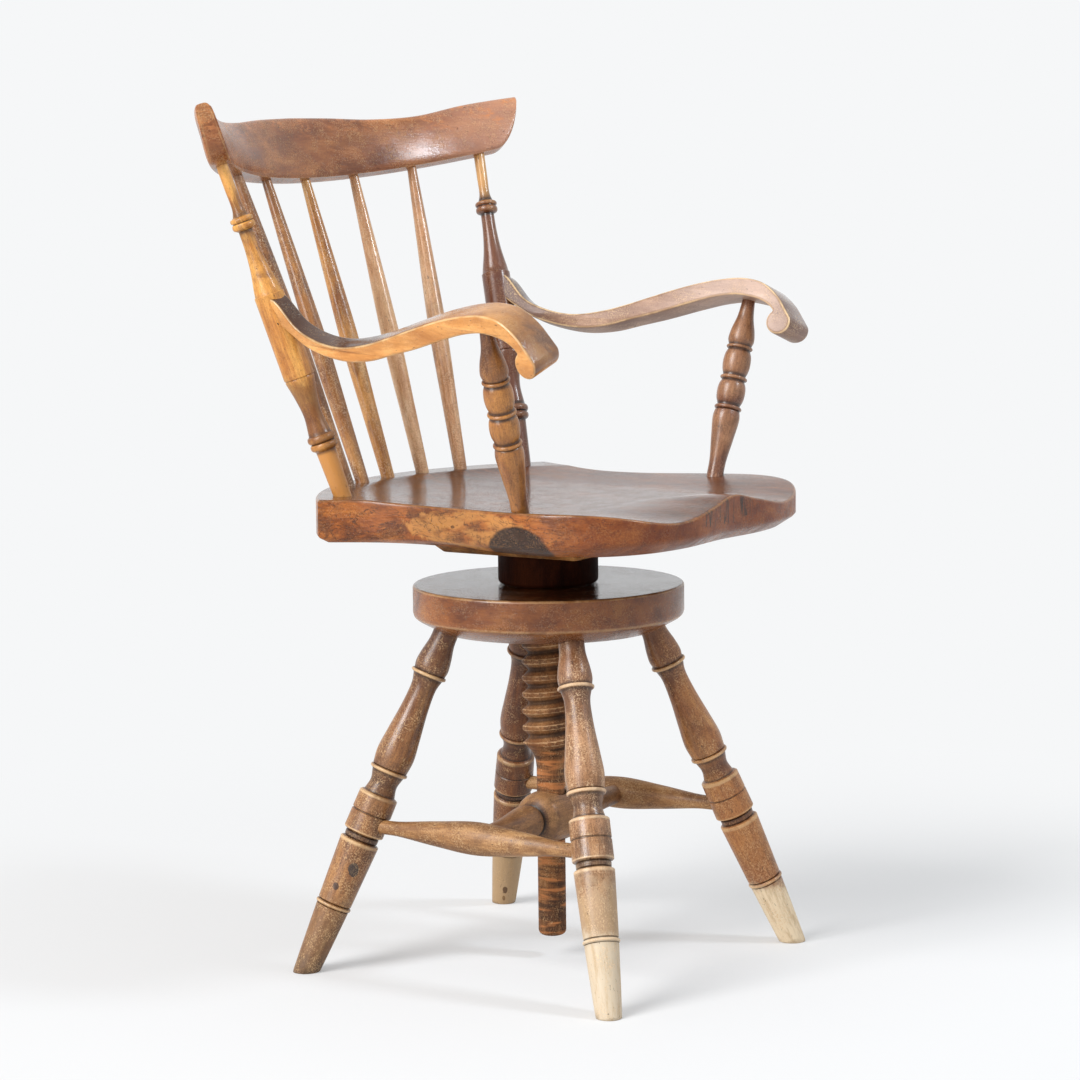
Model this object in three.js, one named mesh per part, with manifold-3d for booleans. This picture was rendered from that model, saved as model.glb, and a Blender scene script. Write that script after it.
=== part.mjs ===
// Bankers swivel chair: a turned wooden armchair that climbs on a wooden screw, over four splayed legs.
// Millimetres, +Z up. The sitter faces -Y, and the sitter's right hand is towards -X.
import * as THREE from 'three';
import { mergeVertices } from 'three/addons/utils/BufferGeometryUtils.js';
import Module from 'manifold-3d';

const wasm = await Module();
wasm.setup();

// Clearances and cutters
const fit = 0.3; // gap round each tenon and between two pieces that bear on each other
const threadPlay = 1.4; // gap between the wooden screw and its tapped hole
const hubPlay = 1.6; // gap between the screw's shank and the hub that steadies it
const overrun = 20; // how far a cutter runs past the face that it opens
const filletSteps = 3;

// Disc on top of the base
const discTop = 408;
const discThickness = 49;
const discSide = 33; // upright part of the disc's edge
const discRadius = 145;
const discFootRadius = 117; // radius of the disc's underside, inside its sloping lower edge
const discRound = 3;
const discSides = 36;

// Legs
const legTopOffset = 79; // along X and along Y, from the screw's axis to a leg's axis under the disc
const legFootOffset = 190.5; // the same at the floor
const legRadius = 21.8;
const legTenonDepth = 32;
const legSides = 12;

// Stretchers
const stretcherHeight = 155;
const sideStretcherRadius = 17.5;
const stretcherTenonDepth = 14;
const crossStretcherRadius = 29; // radius of the hub in its middle
const crossTenonDepth = 11;
const stretcherSides = 10;
const hubSides = 12;

// Wooden screw
const pitch = 18;
const crestRadius = 29.5;
const rootRadius = 22.8;
const threadLength = 173; // from the disc's top down to the last crest
const neckLength = 27; // hollow cone from the thread down to the shank
const shankRadius = 15;
const screwTip = 24; // height of the shank's end above the floor
const tipRound = 6;
const headRadius = 20; // plain tenon above the thread
const headDepth = 20; // how far that tenon enters the seat
const threadPhase = 1.7; // height of a root on the +X side, counted from a whole number of pitches
const threadSides = 12;

// Collar and cleat under the seat
const collarRadius = 53.5;
const collarRound = 5;
const collarSides = 24;
const cleatThickness = 16;
const cleatHalfWidth = 119;
const cleatFront = 114;
const cleatBack = 72;
const cleatBevel = 11;
const cleatScrewInset = 24; // from the board's edges to a screw's axis
const cleatScrewLength = 32;
const cleatScrewRadius = 2.4;
const cleatScrewHeadRadius = 4.8;
const cleatScrewHeadHeight = 2.6;
const cleatScrewSides = 8;
const driverSlotWidth = 1.2;
const driverSlotDepth = 1.1;

// Seat
const seatTop = 511;
const seatThickness = 45;
const seatHalfWidth = 216; // at the rear corners
const seatFront = 232;
const seatBack = 229;
const seatChamfer = 12; // width of the chamfer round the underside
const seatChamferHeight = 6;
const seatFrontChamfer = 20; // the chamfer's width and height at the front
const seatFrontChamferHeight = 12;
const dishDepth = 11; // hollow of the seat's middle
const legHollowDepth = 14; // scoops for the sitter's thighs, which run out through the front edge
const legHollowOffset = 110;
const legHollowWidth = 105; // from a scoop's middle to its border
const legHollowRear = 60; // from the screw's axis forward to where the scoops begin
const pommelRise = 3.5; // of the ridge between the scoops, over the seat's rim
const pommelWidth = 42; // from the ridge to its border
const dishCentreBack = 40; // centre of the arc that bounds the dish at the rear
const dishRadius = 235;
const dishSlope = 34; // distance in which the dish reaches most of its depth
const seatSpokes = 46;

// Back
const lean = 0.32; // how far the back leans out for each unit of height
const postFootShares = [0.794, 0.629]; // of the seat's half width and of its depth behind the screw
const postSplay = 61.9; // how far a post leans out sideways between the seat and the crest
const postRadius = 16.3;
const postTenonDepth = 30;
const postSides = 12;
const spindleRadius = 10.2;
const spindleTenonDepth = 22;
const spindleSides = 10;
const spindleFootArc = 248; // radius of the arc that the spindles' feet stand on
const spindleFootBackShare = 0.908; // of the seat's depth behind the screw
const spindleFootShares = [-0.491, -0.262, 0, 0.262, 0.491]; // of the seat's half width
const spindleHeadShares = [-0.681, -0.343, 0, 0.343, 0.681]; // of the posts' offset under the crest
const crestBend = 395; // plan radius of the crest's middle, at its lower edge
const crestMiddleBack = 312.5;
const crestBottom = 834;
const crestEndRise = 32; // how much higher the lower edge is at the ends
const crestHeight = 67; // at the middle
const crestEarRise = 20; // how much higher the ears are than the middle
const crestThickness = 25;
const crestOverhang = 47.5; // round the bend, from a post's axis to the crest's end
const crestTenonDepth = 18;
const crestStations = 20;

// Arms
const armTilt = THREE.MathUtils.degToRad(17.5); // both arms roll outwards
const armPitch = THREE.MathUtils.degToRad(1.4); // and dip to the front
const armAxisHeight = 686.5; // of the arm's own frame
const armAxisOut = 35; // from the post's axis at that height, out to the arm's own frame
const armReach = 167; // from the arm's own frame to the front of the scroll
const armRootShare = 1.16; // of the reach, from the arm's own frame back to the post's axis
const armDrop = 18; // how far the arm's upper edge sinks below the axis of its own frame
const scrollRadius = 14;
const armSpread = 43; // outer edge of the arm's front, across its own frame
const armTenonWidth = 11;
const armTenonHeight = 12;
const armTenonDepth = 13; // in the post
const armTenonRoot = 6; // from the post's surface into the arm
const armCurveSteps = 2;
const armTenonDrop = 5; // middle of the tenon, below the axis of the arm's frame
const armPinRadius = 2;
const armPinLength = 24;
const armPinSetback = 5; // from the tenon's end to the pin's axis
const armPinSides = 8;

// Arm supports
const supportFootShares = [0.9, -0.403]; // of the seat's half width and of its depth before the screw
const supportHeadShares = [0.346, 0.595, 1.014]; // of the arm's spread, reach and drop, in the arm's own frame
const supportRadius = 15.6;
const supportTenonDepth = 28;
const supportHeadTenonDepth = 12;
const supportSides = 12;

// Turned outlines, a row for each swelling, ring or groove.
// A point is a share of the piece's length and a share of its largest radius.
const legShares = [
  [[0, 0.62], [0.03, 0.64], [0.07, 0.78], [0.1, 0.84], [0.117, 0.79]],
  [[0.119, 0.88], [0.127, 0.88]],
  [[0.131, 0.74], [0.158, 0.63], [0.22, 0.67], [0.3, 0.84], [0.36, 0.95], [0.399, 0.88]],
  [[0.402, 0.94], [0.412, 0.94]],
  [[0.416, 0.8], [0.445, 0.68], [0.474, 0.78]],
  [[0.478, 0.97], [0.59, 1]],
  [[0.594, 0.85], [0.61, 0.84]],
  [[0.614, 0.98], [0.796, 0.84]],
  [[0.798, 0.88], [0.808, 0.88]],
  [[0.811, 0.82], [1.05, 0.56]],
];
// A post's outline runs from -1 at its foot, through 0 at the arm, to 1 at the crest.
const postShares = [
  [[-1, 0.57], [-0.724, 0.65]],
  [[-0.711, 0.82], [-0.695, 0.9], [-0.679, 0.82]],
  [[-0.671, 0.86], [-0.653, 0.93], [-0.634, 0.84]],
  [[-0.622, 0.74], [-0.508, 0.6], [-0.39, 0.76], [-0.299, 0.98]],
  [[-0.267, 1], [0.218, 0.98]],
  [[0.252, 0.86], [0.37, 0.62], [0.492, 0.49], [0.604, 0.46]],
  [[0.618, 0.7], [0.634, 0.76], [0.651, 0.68]],
  [[0.659, 0.78], [0.679, 0.72]],
  [[0.699, 0.5], [0.736, 0.37]],
  [[0.797, 0.37], [1, 0.38]],
];
const spindleShares = [[[0, 0.71], [0.2, 0.84], [0.45, 1], [0.7, 0.82], [1, 0.51]]];
const supportShares = [
  [[0, 0.58], [0.07, 0.59], [0.2, 0.79], [0.32, 0.95], [0.355, 0.88]],
  [[0.366, 0.95], [0.382, 0.95]],
  [[0.392, 0.8], [0.425, 0.95], [0.466, 1], [0.505, 0.94], [0.53, 0.8]],
  [[0.537, 0.95], [0.552, 0.95]],
  [[0.562, 0.8], [0.595, 0.93], [0.635, 0.98], [0.68, 0.92], [0.708, 0.78]],
  [[0.714, 0.92], [0.728, 0.92]],
  [[0.738, 0.82], [0.765, 0.92], [0.82, 0.84], [0.9, 0.58], [1, 0.44]],
];
const sideStretcherShares = [
  [[0, 0.43], [0.08, 0.45], [0.28, 0.75], [0.5, 1], [0.72, 0.75], [0.92, 0.45], [1, 0.43]],
];
const crossStretcherShares = [
  [[0, 0.36], [0.12, 0.42], [0.23, 0.58], [0.3, 0.66], [0.335, 0.6]],
  [[0.34, 0.52], [0.35, 0.52]],
  [[0.385, 0.9], [0.43, 0.99], [0.5, 1], [0.57, 0.99], [0.615, 0.9]],
  [[0.65, 0.52], [0.66, 0.52]],
  [[0.665, 0.6], [0.7, 0.66], [0.77, 0.58], [0.88, 0.42], [1, 0.36]],
];

// One pitch of the thread: a share of the pitch and a share of the depth, from one root to the next
const threadShares = [[0, 0], [0.3, 0.78], [0.42, 1], [0.58, 1], [0.7, 0.78]];
// The hollow neck under the thread: a share of its length and a share of the way out from the shank
const neckShares = [[0, 0], [0.35, 0.1], [0.7, 0.42], [1, 1]];

// Seat edge from the rear corner round the front: shares of the half width and of the front or back depth
const seatEdgeShares = [
  [1, 0.63], [0.9, 0.42], [0.865, 0.2], [0.885, -0.05], [0.955, -0.36], [0.965, -0.6],
  [0.87, -0.82], [0.68, -0.95], [0.4, -1.01], [0, -1],
];
// Rings of the seat's upper face, as shares of the way from its middle to its edge
const seatRingShares = [0.2, 0.4, 0.58, 0.72, 0.84, 0.93, 1];

// Crest section: a share of the thickness, out from its middle, and a share of the height
const crestSectionShares = [
  [-0.42, 0], [0.42, 0], [0.5, 0.06], [0.47, 0.5], [0.4, 0.9], [0.28, 1], [-0.14, 1], [-0.3, 0.92], [-0.5, 0.06],
];
const crestEarStartShare = 0.9; // of the half angle, where the lower edge starts to turn up
// Rise of the upper edge as shares of the ear's rise, at even steps from the middle to the end
const crestUpperShares = [0, -0.05, -0.16, -0.02, 0.56, 1];

// Arm outline seen from the side: shares of the reach and of the drop
const armUpperShares = [
  [-1.12, 1.2], [-1.1, 1], [-0.96, -0.28], [-0.8, -0.8], [-0.6, -0.97], [-0.39, -0.64], [-0.2, -0.1], [-0.03, 0.47],
  [0.14, 1.03], [0.3, 1.5], [0.46, 1.86], [0.62, 2.04], [0.76, 1.84], [0.88, 1.1], [0.96, 0.2],
];
const armLowerShares = [
  [0.84, 0.4], [0.8, 0.62], [0.75, 0.79], [0.68, 0.9], [0.585, 0.95], [0.44, 0.72], [0.27, 0.22],
  [0.03, -0.56], [-0.16, -1.08], [-0.33, -1.56], [-0.52, -1.82], [-0.7, -1.74],
  [-0.88, -1.4], [-1.02, -0.8], [-1.1, -0.4],
];
const scrollCentreShares = [0.916, -0.5];
const scrollStart = THREE.MathUtils.degToRad(-20);
const scrollEnd = THREE.MathUtils.degToRad(235);
const scrollSteps = 9;
// Arm outline seen from above, across its own frame: shares of the reach and of the spread
const armInnerShares = [
  [-1.24, -1.08], [-1.1, -0.98], [-0.74, -0.69], [-0.4, -0.56], [0.12, -0.47], [0.62, -0.33], [1.1, -0.12],
];
const armOuterShares = [
  [-1.24, -0.6], [-1.1, -0.46], [-0.74, -0.08], [-0.38, 0.14], [0.12, 0.32], [0.62, 0.6], [1.1, 1.02],
];

// Values worked out from the sizes
const discBottom = discTop - discThickness;
const seatBottom = seatTop - seatThickness;
const cleatTop = seatBottom - fit;
const cleatBottom = cleatTop - cleatThickness;
const collarTop = cleatBottom - fit;
const collarBottom = discTop + fit;
const threadEnd = discTop - threadLength;
const neckEnd = threadEnd - neckLength;
const postHeadOffset = postFootShares[0] * seatHalfWidth + postSplay;
const crestHalfAngle = Math.asin(postHeadOffset / crestBend) + crestOverhang / crestBend;
const axisUp = new THREE.Vector3(0, 0, 1);

// Closed solids
function wound(index) {
  const flipped = Array.from(index);
  for (let i = 0; i < flipped.length; i += 3) [flipped[i], flipped[i + 1]] = [flipped[i + 1], flipped[i]];
  return flipped;
}

function signedVolume(position, index) {
  const corners = [new THREE.Vector3(), new THREE.Vector3(), new THREE.Vector3()];
  let sum = 0;
  for (let i = 0; i < index.length; i += 3) {
    corners.forEach((corner, k) => corner.fromBufferAttribute(position, index[i + k]));
    sum += corners[0].dot(corners[1].cross(corners[2]));
  }
  return sum / 6;
}

function toSolid(geometry) {
  const bare = new THREE.BufferGeometry();
  bare.setAttribute('position', geometry.attributes.position.clone());
  if (geometry.index) bare.setIndex(geometry.index.clone());
  const merged = mergeVertices(bare, 1e-3);
  const kept = [];
  for (let i = 0; i < merged.index.count; i += 3) {
    const corners = [0, 1, 2].map((k) => merged.index.getX(i + k));
    if (new Set(corners).size === 3) kept.push(...corners);
  }
  const outward = signedVolume(merged.attributes.position, kept) > 0 ? kept : wound(kept);
  return new wasm.Manifold(new wasm.Mesh({
    numProp: 3,
    vertProperties: new Float32Array(merged.attributes.position.array),
    triVerts: new Uint32Array(outward),
  }));
}

function toGeometry(solid) {
  const mesh = solid.getMesh();
  const geometry = new THREE.BufferGeometry();
  geometry.setAttribute('position', new THREE.BufferAttribute(mesh.vertProperties, 3));
  geometry.setIndex(new THREE.BufferAttribute(mesh.triVerts, 1));
  geometry.computeVertexNormals();
  return geometry;
}

function joined(...geometries) {
  return toGeometry(geometries.map(toSolid).reduce((sum, next) => sum.add(next)));
}

function shared(first, second) {
  return toGeometry(toSolid(first).intersect(toSolid(second)));
}

function cut(geometry, cutters) {
  return toGeometry(cutters.map(toSolid).reduce((rest, next) => rest.subtract(next), toSolid(geometry)));
}

// Turned forms
function profileOf(rows, length, radius) {
  return rows.flat().map(([along, out]) => new THREE.Vector2(out * radius, along * length));
}

function turned(profile, sides) {
  const first = profile[0];
  const last = profile[profile.length - 1];
  const outline = [new THREE.Vector2(0, first.y), ...profile, new THREE.Vector2(0, last.y)];
  return new THREE.LatheGeometry(outline, sides).rotateX(Math.PI / 2);
}

function rod(radius, from, to, sides) {
  return turned([new THREE.Vector2(radius, from), new THREE.Vector2(radius, to)], sides);
}

// Closed skin over rows of points, each row the same number of points round the form
function loft(rows) {
  const around = rows[0].length;
  const points = rows.flat();
  const index = [];
  for (let row = 0; row + 1 < rows.length; row += 1) {
    for (let i = 0; i < around; i += 1) {
      const next = (i + 1) % around;
      const low = row * around;
      const high = low + around;
      index.push(low + i, low + next, high + next, low + i, high + next, high + i);
    }
  }
  for (const [row, flip] of [[0, true], [rows.length - 1, false]]) {
    const middle = points.length;
    points.push(rows[row].reduce((sum, point) => sum.add(point), new THREE.Vector3()).divideScalar(around));
    for (let i = 0; i < around; i += 1) {
      const edge = [row * around + i, row * around + (i + 1) % around];
      index.push(...(flip ? edge.reverse() : edge), middle);
    }
  }
  const geometry = new THREE.BufferGeometry().setFromPoints(points);
  geometry.setIndex(index);
  return geometry;
}

// Right-hand thread between two heights, with its ridge from rootOut to crestOut.
// Every thread has the same phase, so a screw is in step with its tapped hole.
function threadForm(rootOut, crestOut, from, to) {
  const perPitch = threadShares.length;
  const firstTurn = Math.floor((from - threadPhase) / pitch) - 1;
  const turns = Math.ceil((to - threadPhase) / pitch) - firstTurn;
  const rows = turns * perPitch;
  const points = [];
  const at = (side, row) => side * (rows + perPitch + 1) + row;
  for (let side = 0; side < threadSides; side += 1) {
    const angle = (side / threadSides) * 2 * Math.PI;
    for (let row = 0; row <= rows + perPitch; row += 1) {
      const [along, depth] = threadShares[row % perPitch];
      const radius = rootOut + depth * (crestOut - rootOut);
      const height = threadPhase + pitch * (firstTurn + Math.floor(row / perPitch) + along + side / threadSides);
      points.push(new THREE.Vector3(radius * Math.cos(angle), radius * Math.sin(angle), height));
    }
  }
  const index = [];
  const corner = (side, row) => (side < threadSides ? at(side, row) : at(0, row + perPitch));
  for (let side = 0; side < threadSides; side += 1) {
    for (let row = 0; row < rows; row += 1) {
      const [a, b] = [corner(side, row), corner(side + 1, row)];
      const [c, d] = [corner(side + 1, row + 1), corner(side, row + 1)];
      index.push(a, b, c, a, c, d);
    }
  }
  for (const [row, flip] of [[0, true], [rows, false]]) {
    const ring = Array.from({ length: threadSides }, (unused, side) => at(side, row));
    for (let step = perPitch; step > 0; step -= 1) ring.push(at(0, row + step));
    const middle = points.length;
    points.push(new THREE.Vector3(0, 0, points[at(0, row)].z + pitch / 2));
    ring.forEach((point, i) => {
      const edge = [point, ring[(i + 1) % ring.length]];
      index.push(...(flip ? edge.reverse() : edge), middle);
    });
  }
  const geometry = new THREE.BufferGeometry().setFromPoints(points);
  geometry.setIndex(index);
  return shared(geometry, rod(crestOut + overrun, from, to, threadSides));
}

// Named pieces
const looks = {
  honey: { color: 0x9a6232, roughness: 0.45, metalness: 0 },
  brown: { color: 0x7a4a2a, roughness: 0.4, metalness: 0 },
  red_brown: { color: 0x6b3d26, roughness: 0.35, metalness: 0 },
  dark: { color: 0x331b10, roughness: 0.4, metalness: 0 },
  worn: { color: 0x8c6a48, roughness: 0.6, metalness: 0 },
  iron: { color: 0x4a4542, roughness: 0.5, metalness: 0.8 },
};

function piece(name, geometry, look, from = new THREE.Vector3(), to = null) {
  const mesh = new THREE.Mesh(geometry, new THREE.MeshStandardMaterial(looks[look]));
  mesh.name = name;
  mesh.position.copy(from);
  if (to) mesh.quaternion.setFromUnitVectors(axisUp, to.clone().sub(from).normalize());
  mesh.updateMatrix();
  return mesh;
}

// Cuts a piece. Each cutter is drawn in its owner's frame, or in the chair's frame if it has no owner.
function cutPiece(host, cutters) {
  const inward = host.matrix.clone().invert();
  host.geometry = cut(host.geometry, cutters.map(({ owner, cutter }) => {
    const placed = cutter.clone();
    if (owner) placed.applyMatrix4(owner.matrix);
    return placed.applyMatrix4(inward);
  }));
}

function mirrored(point, side) {
  return new THREE.Vector3(side * point.x, point.y, point.z);
}

const hands = [{ hand: 'right', side: -1 }, { hand: 'left', side: 1 }];

// Legs, from the disc down to the floor
const legTop = new THREE.Vector3(legTopOffset, legTopOffset, discBottom);
const legFoot = new THREE.Vector3(legFootOffset, legFootOffset, 0);
const legLength = legTop.distanceTo(legFoot);
const legTenonRadius = legShares[0][0][1] * legRadius;

function legGeometry() {
  const profile = profileOf(legShares, legLength, legRadius);
  profile.unshift(new THREE.Vector2(legTenonRadius, -legTenonDepth));
  return turned(profile, legSides);
}

const floorCutter = new THREE.BoxGeometry(legFootOffset * 3, legFootOffset * 3, overrun * 2);
floorCutter.translate(0, 0, -overrun);
const legs = [];
for (const { hand, side } of hands) {
  for (const [end, reach] of [['front', -1], ['rear', 1]]) {
    const from = new THREE.Vector3(side * legTop.x, reach * legTop.y, legTop.z);
    const to = new THREE.Vector3(side * legFoot.x, reach * legFoot.y, legFoot.z);
    const leg = piece(`leg_${end}_${hand}`, legGeometry(), 'worn', from, to);
    leg.userData = { side, reach };
    cutPiece(leg, [{ cutter: floorCutter }]);
    legs.push(leg);
  }
}

// Stretchers
const stretcherShare = (discBottom - stretcherHeight) / discBottom;
const stretcherOffset = legTopOffset + (legFootOffset - legTopOffset) * stretcherShare;

function stretcher(name, from, to, shares, radius, tenonDepth, inset, sides) {
  const length = from.distanceTo(to);
  const start = from.clone().lerp(to, inset / length);
  const shown = length - 2 * inset;
  const profile = profileOf(shares, shown, radius);
  const endRadius = profile[0].x;
  profile.unshift(new THREE.Vector2(endRadius, -tenonDepth));
  profile.push(new THREE.Vector2(endRadius, shown + tenonDepth));
  const mesh = piece(name, turned(profile, sides), 'worn', start, to);
  const socket = (at, way) => rod(endRadius + fit, at + way * (tenonDepth + fit), at - way * overrun, sides);
  mesh.userData = { sockets: [socket(0, -1), socket(shown, 1)] };
  return mesh;
}

const sideStretchers = hands.map(({ hand, side }) => {
  const front = new THREE.Vector3(side * stretcherOffset, -stretcherOffset, stretcherHeight);
  const rear = new THREE.Vector3(side * stretcherOffset, stretcherOffset, stretcherHeight);
  const made = stretcher(`side_stretcher_${hand}`, front, rear, sideStretcherShares, sideStretcherRadius,
    stretcherTenonDepth, legRadius, stretcherSides);
  made.userData.side = side;
  return made;
});
for (const leg of legs) {
  const owner = sideStretchers.find((made) => made.userData.side === leg.userData.side);
  cutPiece(leg, [{ owner, cutter: owner.userData.sockets[leg.userData.reach < 0 ? 0 : 1] }]);
}
const crossStretcher = stretcher('cross_stretcher',
  new THREE.Vector3(-stretcherOffset, 0, stretcherHeight),
  new THREE.Vector3(stretcherOffset, 0, stretcherHeight),
  crossStretcherShares, crossStretcherRadius, crossTenonDepth, sideStretcherRadius, hubSides);
sideStretchers.forEach((host, i) => {
  cutPiece(host, [{ owner: crossStretcher, cutter: crossStretcher.userData.sockets[i] }]);
});

// Wooden screw, its head up in the seat and its shank down through the hub
const headTop = seatBottom + headDepth;
const neckProfile = (full) => neckShares.map(([along, out]) => new THREE.Vector2(
  shankRadius + out * (full - shankRadius),
  neckEnd + along * neckLength,
));
const tipProfile = Array.from({ length: filletSteps + 1 }, (unused, i) => {
  const angle = (i / filletSteps) * (Math.PI / 2);
  return new THREE.Vector2(
    shankRadius - tipRound + tipRound * Math.sin(angle),
    screwTip + tipRound - tipRound * Math.cos(angle),
  );
});
const screwCore = turned([
  ...tipProfile,
  ...neckProfile(rootRadius),
  new THREE.Vector2(headRadius, threadEnd + neckLength / 2),
  new THREE.Vector2(headRadius, headTop),
], threadSides);
const flatsOut = 1 / Math.cos(Math.PI / threadSides); // a turned form's flats lie inside its radius
const screwEnvelope = turned([
  ...neckProfile((crestRadius + fit) * flatsOut),
  new THREE.Vector2((crestRadius + fit) * flatsOut, discTop),
], threadSides);
const threadBottom = threadEnd - neckLength / 2;
const screwThread = shared(threadForm(rootRadius, crestRadius, threadBottom, discTop), screwEnvelope);
const screw = piece('screw', joined(screwThread, screwCore), 'brown');
const shankBore = rod(shankRadius + hubPlay, stretcherHeight - 2 * crossStretcherRadius,
  stretcherHeight + 2 * crossStretcherRadius, hubSides);
cutPiece(crossStretcher, [{ cutter: shankBore }]);

// Disc, tapped for the screw and socketed for the legs
const discProfile = [
  new THREE.Vector2(discFootRadius, discBottom),
  new THREE.Vector2(discRadius - discRound, discTop - discSide - discRound / 2),
  new THREE.Vector2(discRadius, discTop - discSide + discRound),
  new THREE.Vector2(discRadius, discTop - discRound),
  new THREE.Vector2(discRadius - discRound / 3, discTop - discRound / 3),
  new THREE.Vector2(discRadius - discRound, discTop),
];
const disc = piece('base_disc', turned(discProfile, discSides), 'red_brown');
const tapped = threadForm(rootRadius + threadPlay, crestRadius + threadPlay, discBottom - pitch, discTop + pitch);
const legSocket = rod(legTenonRadius + fit, -legTenonDepth - fit, overrun, legSides);
cutPiece(disc, [{ cutter: tapped }, ...legs.map((owner) => ({ owner, cutter: legSocket }))]);

// Collar between the disc and the cleat
const collarProfile = [
  new THREE.Vector2(collarRadius - collarRound, collarBottom),
  new THREE.Vector2(collarRadius, collarBottom + collarRound),
  new THREE.Vector2(collarRadius, collarTop - collarRound),
  new THREE.Vector2(collarRadius - collarRound, collarTop),
];
const collarBore = rod((headRadius + fit) * flatsOut, collarBottom - overrun, collarTop + overrun, threadSides);
const collar = piece('collar', turned(collarProfile, collarSides), 'dark');
cutPiece(collar, [{ cutter: collarBore }]);

// Cleat, a board with a bevelled lower edge, held up by four countersunk screws
function cleatRow(inset, height) {
  const x = cleatHalfWidth - inset;
  return [[-x, -cleatFront + inset], [x, -cleatFront + inset], [x, cleatBack - inset], [-x, cleatBack - inset]]
    .map(([across, along]) => new THREE.Vector3(across, along, height));
}
const cleat = piece('seat_cleat', loft([
  cleatRow(cleatBevel, cleatBottom),
  cleatRow(0, cleatTop - cleatThickness / 3),
  cleatRow(0, cleatTop),
]), 'brown');

function cleatScrewForm(gap) {
  const head = new THREE.Vector2(cleatScrewHeadRadius + gap, 0);
  const neck = new THREE.Vector2(cleatScrewRadius + gap, cleatScrewHeadHeight);
  const shoulder = new THREE.Vector2(cleatScrewRadius + gap, cleatScrewLength - cleatScrewHeadRadius);
  const point = new THREE.Vector2(driverSlotWidth / 2 + gap, cleatScrewLength + gap);
  return turned([head, neck, shoulder, point], cleatScrewSides);
}
const driverSlot = new THREE.BoxGeometry(overrun, driverSlotWidth, 2 * driverSlotDepth);
const cleatScrews = [];
for (const { hand, side } of hands) {
  for (const [end, along] of [['front', -cleatFront + cleatScrewInset], ['rear', cleatBack - cleatScrewInset]]) {
    const place = new THREE.Vector3(side * (cleatHalfWidth - cleatScrewInset), along, cleatBottom);
    cleatScrews.push(piece(`cleat_screw_${end}_${hand}`, cut(cleatScrewForm(0), [driverSlot]), 'iron', place));
  }
}
const cleatScrewCuts = cleatScrews.map((owner) => ({ owner, cutter: cleatScrewForm(fit) }));
const cleatScrewMouth = rod(cleatScrewHeadRadius + fit, -overrun, fit, cleatScrewSides);
const headBore = rod(headRadius + fit, cleatBottom - overrun, headTop + fit, threadSides);
cutPiece(cleat, [
  { cutter: headBore },
  ...cleatScrewCuts,
  ...cleatScrews.map((owner) => ({ owner, cutter: cleatScrewMouth })),
]);

// Seat
function seatEdge() {
  const place = ([across, along]) => new THREE.Vector3(
    across * seatHalfWidth,
    along * (along > 0 ? seatBack : seatFront),
    0,
  );
  const half = seatEdgeShares.map(place);
  const otherHalf = half.slice(0, -1).reverse().map((point) => mirrored(point, -1));
  const front = new THREE.CatmullRomCurve3([...half, ...otherHalf]);
  const corner = half[0];
  const rise = seatBack - corner.y;
  const arcRadius = (corner.x * corner.x + rise * rise) / (2 * rise);
  const sweep = Math.asin(corner.x / arcRadius);
  const backCount = Math.round(seatSpokes * 0.3);
  const edge = front.getSpacedPoints(seatSpokes - backCount);
  for (let i = 1; i < backCount; i += 1) {
    const angle = -sweep + (2 * sweep * i) / backCount;
    edge.push(new THREE.Vector3(arcRadius * Math.sin(angle), seatBack - arcRadius * (1 - Math.cos(angle)), 0));
  }
  return edge;
}

// 1 on a form's middle line, falling to 0 at its border
function bell(value, width) {
  return 1 - THREE.MathUtils.smoothstep(Math.abs(value), 0, width);
}

function seatHeight({ x, y }) {
  const inside = dishRadius - Math.hypot(x, y + dishCentreBack);
  const entry = inside > 0 ? 1 - Math.exp(-inside / dishSlope) : 0;
  const side = 1 - 0.75 * THREE.MathUtils.smoothstep(Math.abs(x), seatHalfWidth / 2, seatHalfWidth);
  const forward = THREE.MathUtils.smoothstep(-y, legHollowRear, seatFront);
  const middle = dishDepth * side * entry;
  const hollow = legHollowDepth * bell(Math.abs(x) - legHollowOffset, legHollowWidth);
  const front = hollow - pommelRise * bell(x, pommelWidth);
  return seatTop - THREE.MathUtils.lerp(middle, front, forward);
}

function seatGeometry() {
  const edge = seatEdge();
  const forward = (point) => THREE.MathUtils.smoothstep(-point.y, 0, seatFront);
  const underside = edge.map((point) => {
    const inset = THREE.MathUtils.lerp(seatChamfer, seatFrontChamfer, forward(point));
    return point.clone().setLength(point.length() - inset).setZ(seatBottom);
  });
  const lowerEdge = edge.map((point) => {
    const rise = THREE.MathUtils.lerp(seatChamferHeight, seatFrontChamferHeight, forward(point));
    return point.clone().setZ(seatBottom + rise);
  });
  const upperFace = seatRingShares.toReversed().map((share) => edge.map((point) => {
    const placed = point.clone().multiplyScalar(share);
    return placed.setZ(seatHeight(placed));
  }));
  return loft([underside, lowerEdge, ...upperFace]);
}
const seat = piece('seat', seatGeometry(), 'brown');

// Turned pieces that stand in the seat
function standing(name, shares, radius, from, to, footTenon, headTenon, sides, look) {
  const length = from.distanceTo(to);
  const profile = profileOf(shares, length, radius);
  const footRadius = profile[0].x;
  const headRadiusHere = profile[profile.length - 1].x;
  profile.unshift(new THREE.Vector2(footRadius, -footTenon));
  profile.push(new THREE.Vector2(headRadiusHere, length + headTenon));
  const made = piece(name, turned(profile, sides), look, from, to);
  made.userData = {
    footSocket: rod(footRadius + fit, -footTenon - fit, overrun, sides),
    headSocket: rod(headRadiusHere + fit, length - overrun / 2, length + headTenon + fit, sides),
    grown: turned(profile.map(({ x, y }) => new THREE.Vector2(x + fit, y)), sides),
  };
  return made;
}

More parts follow.
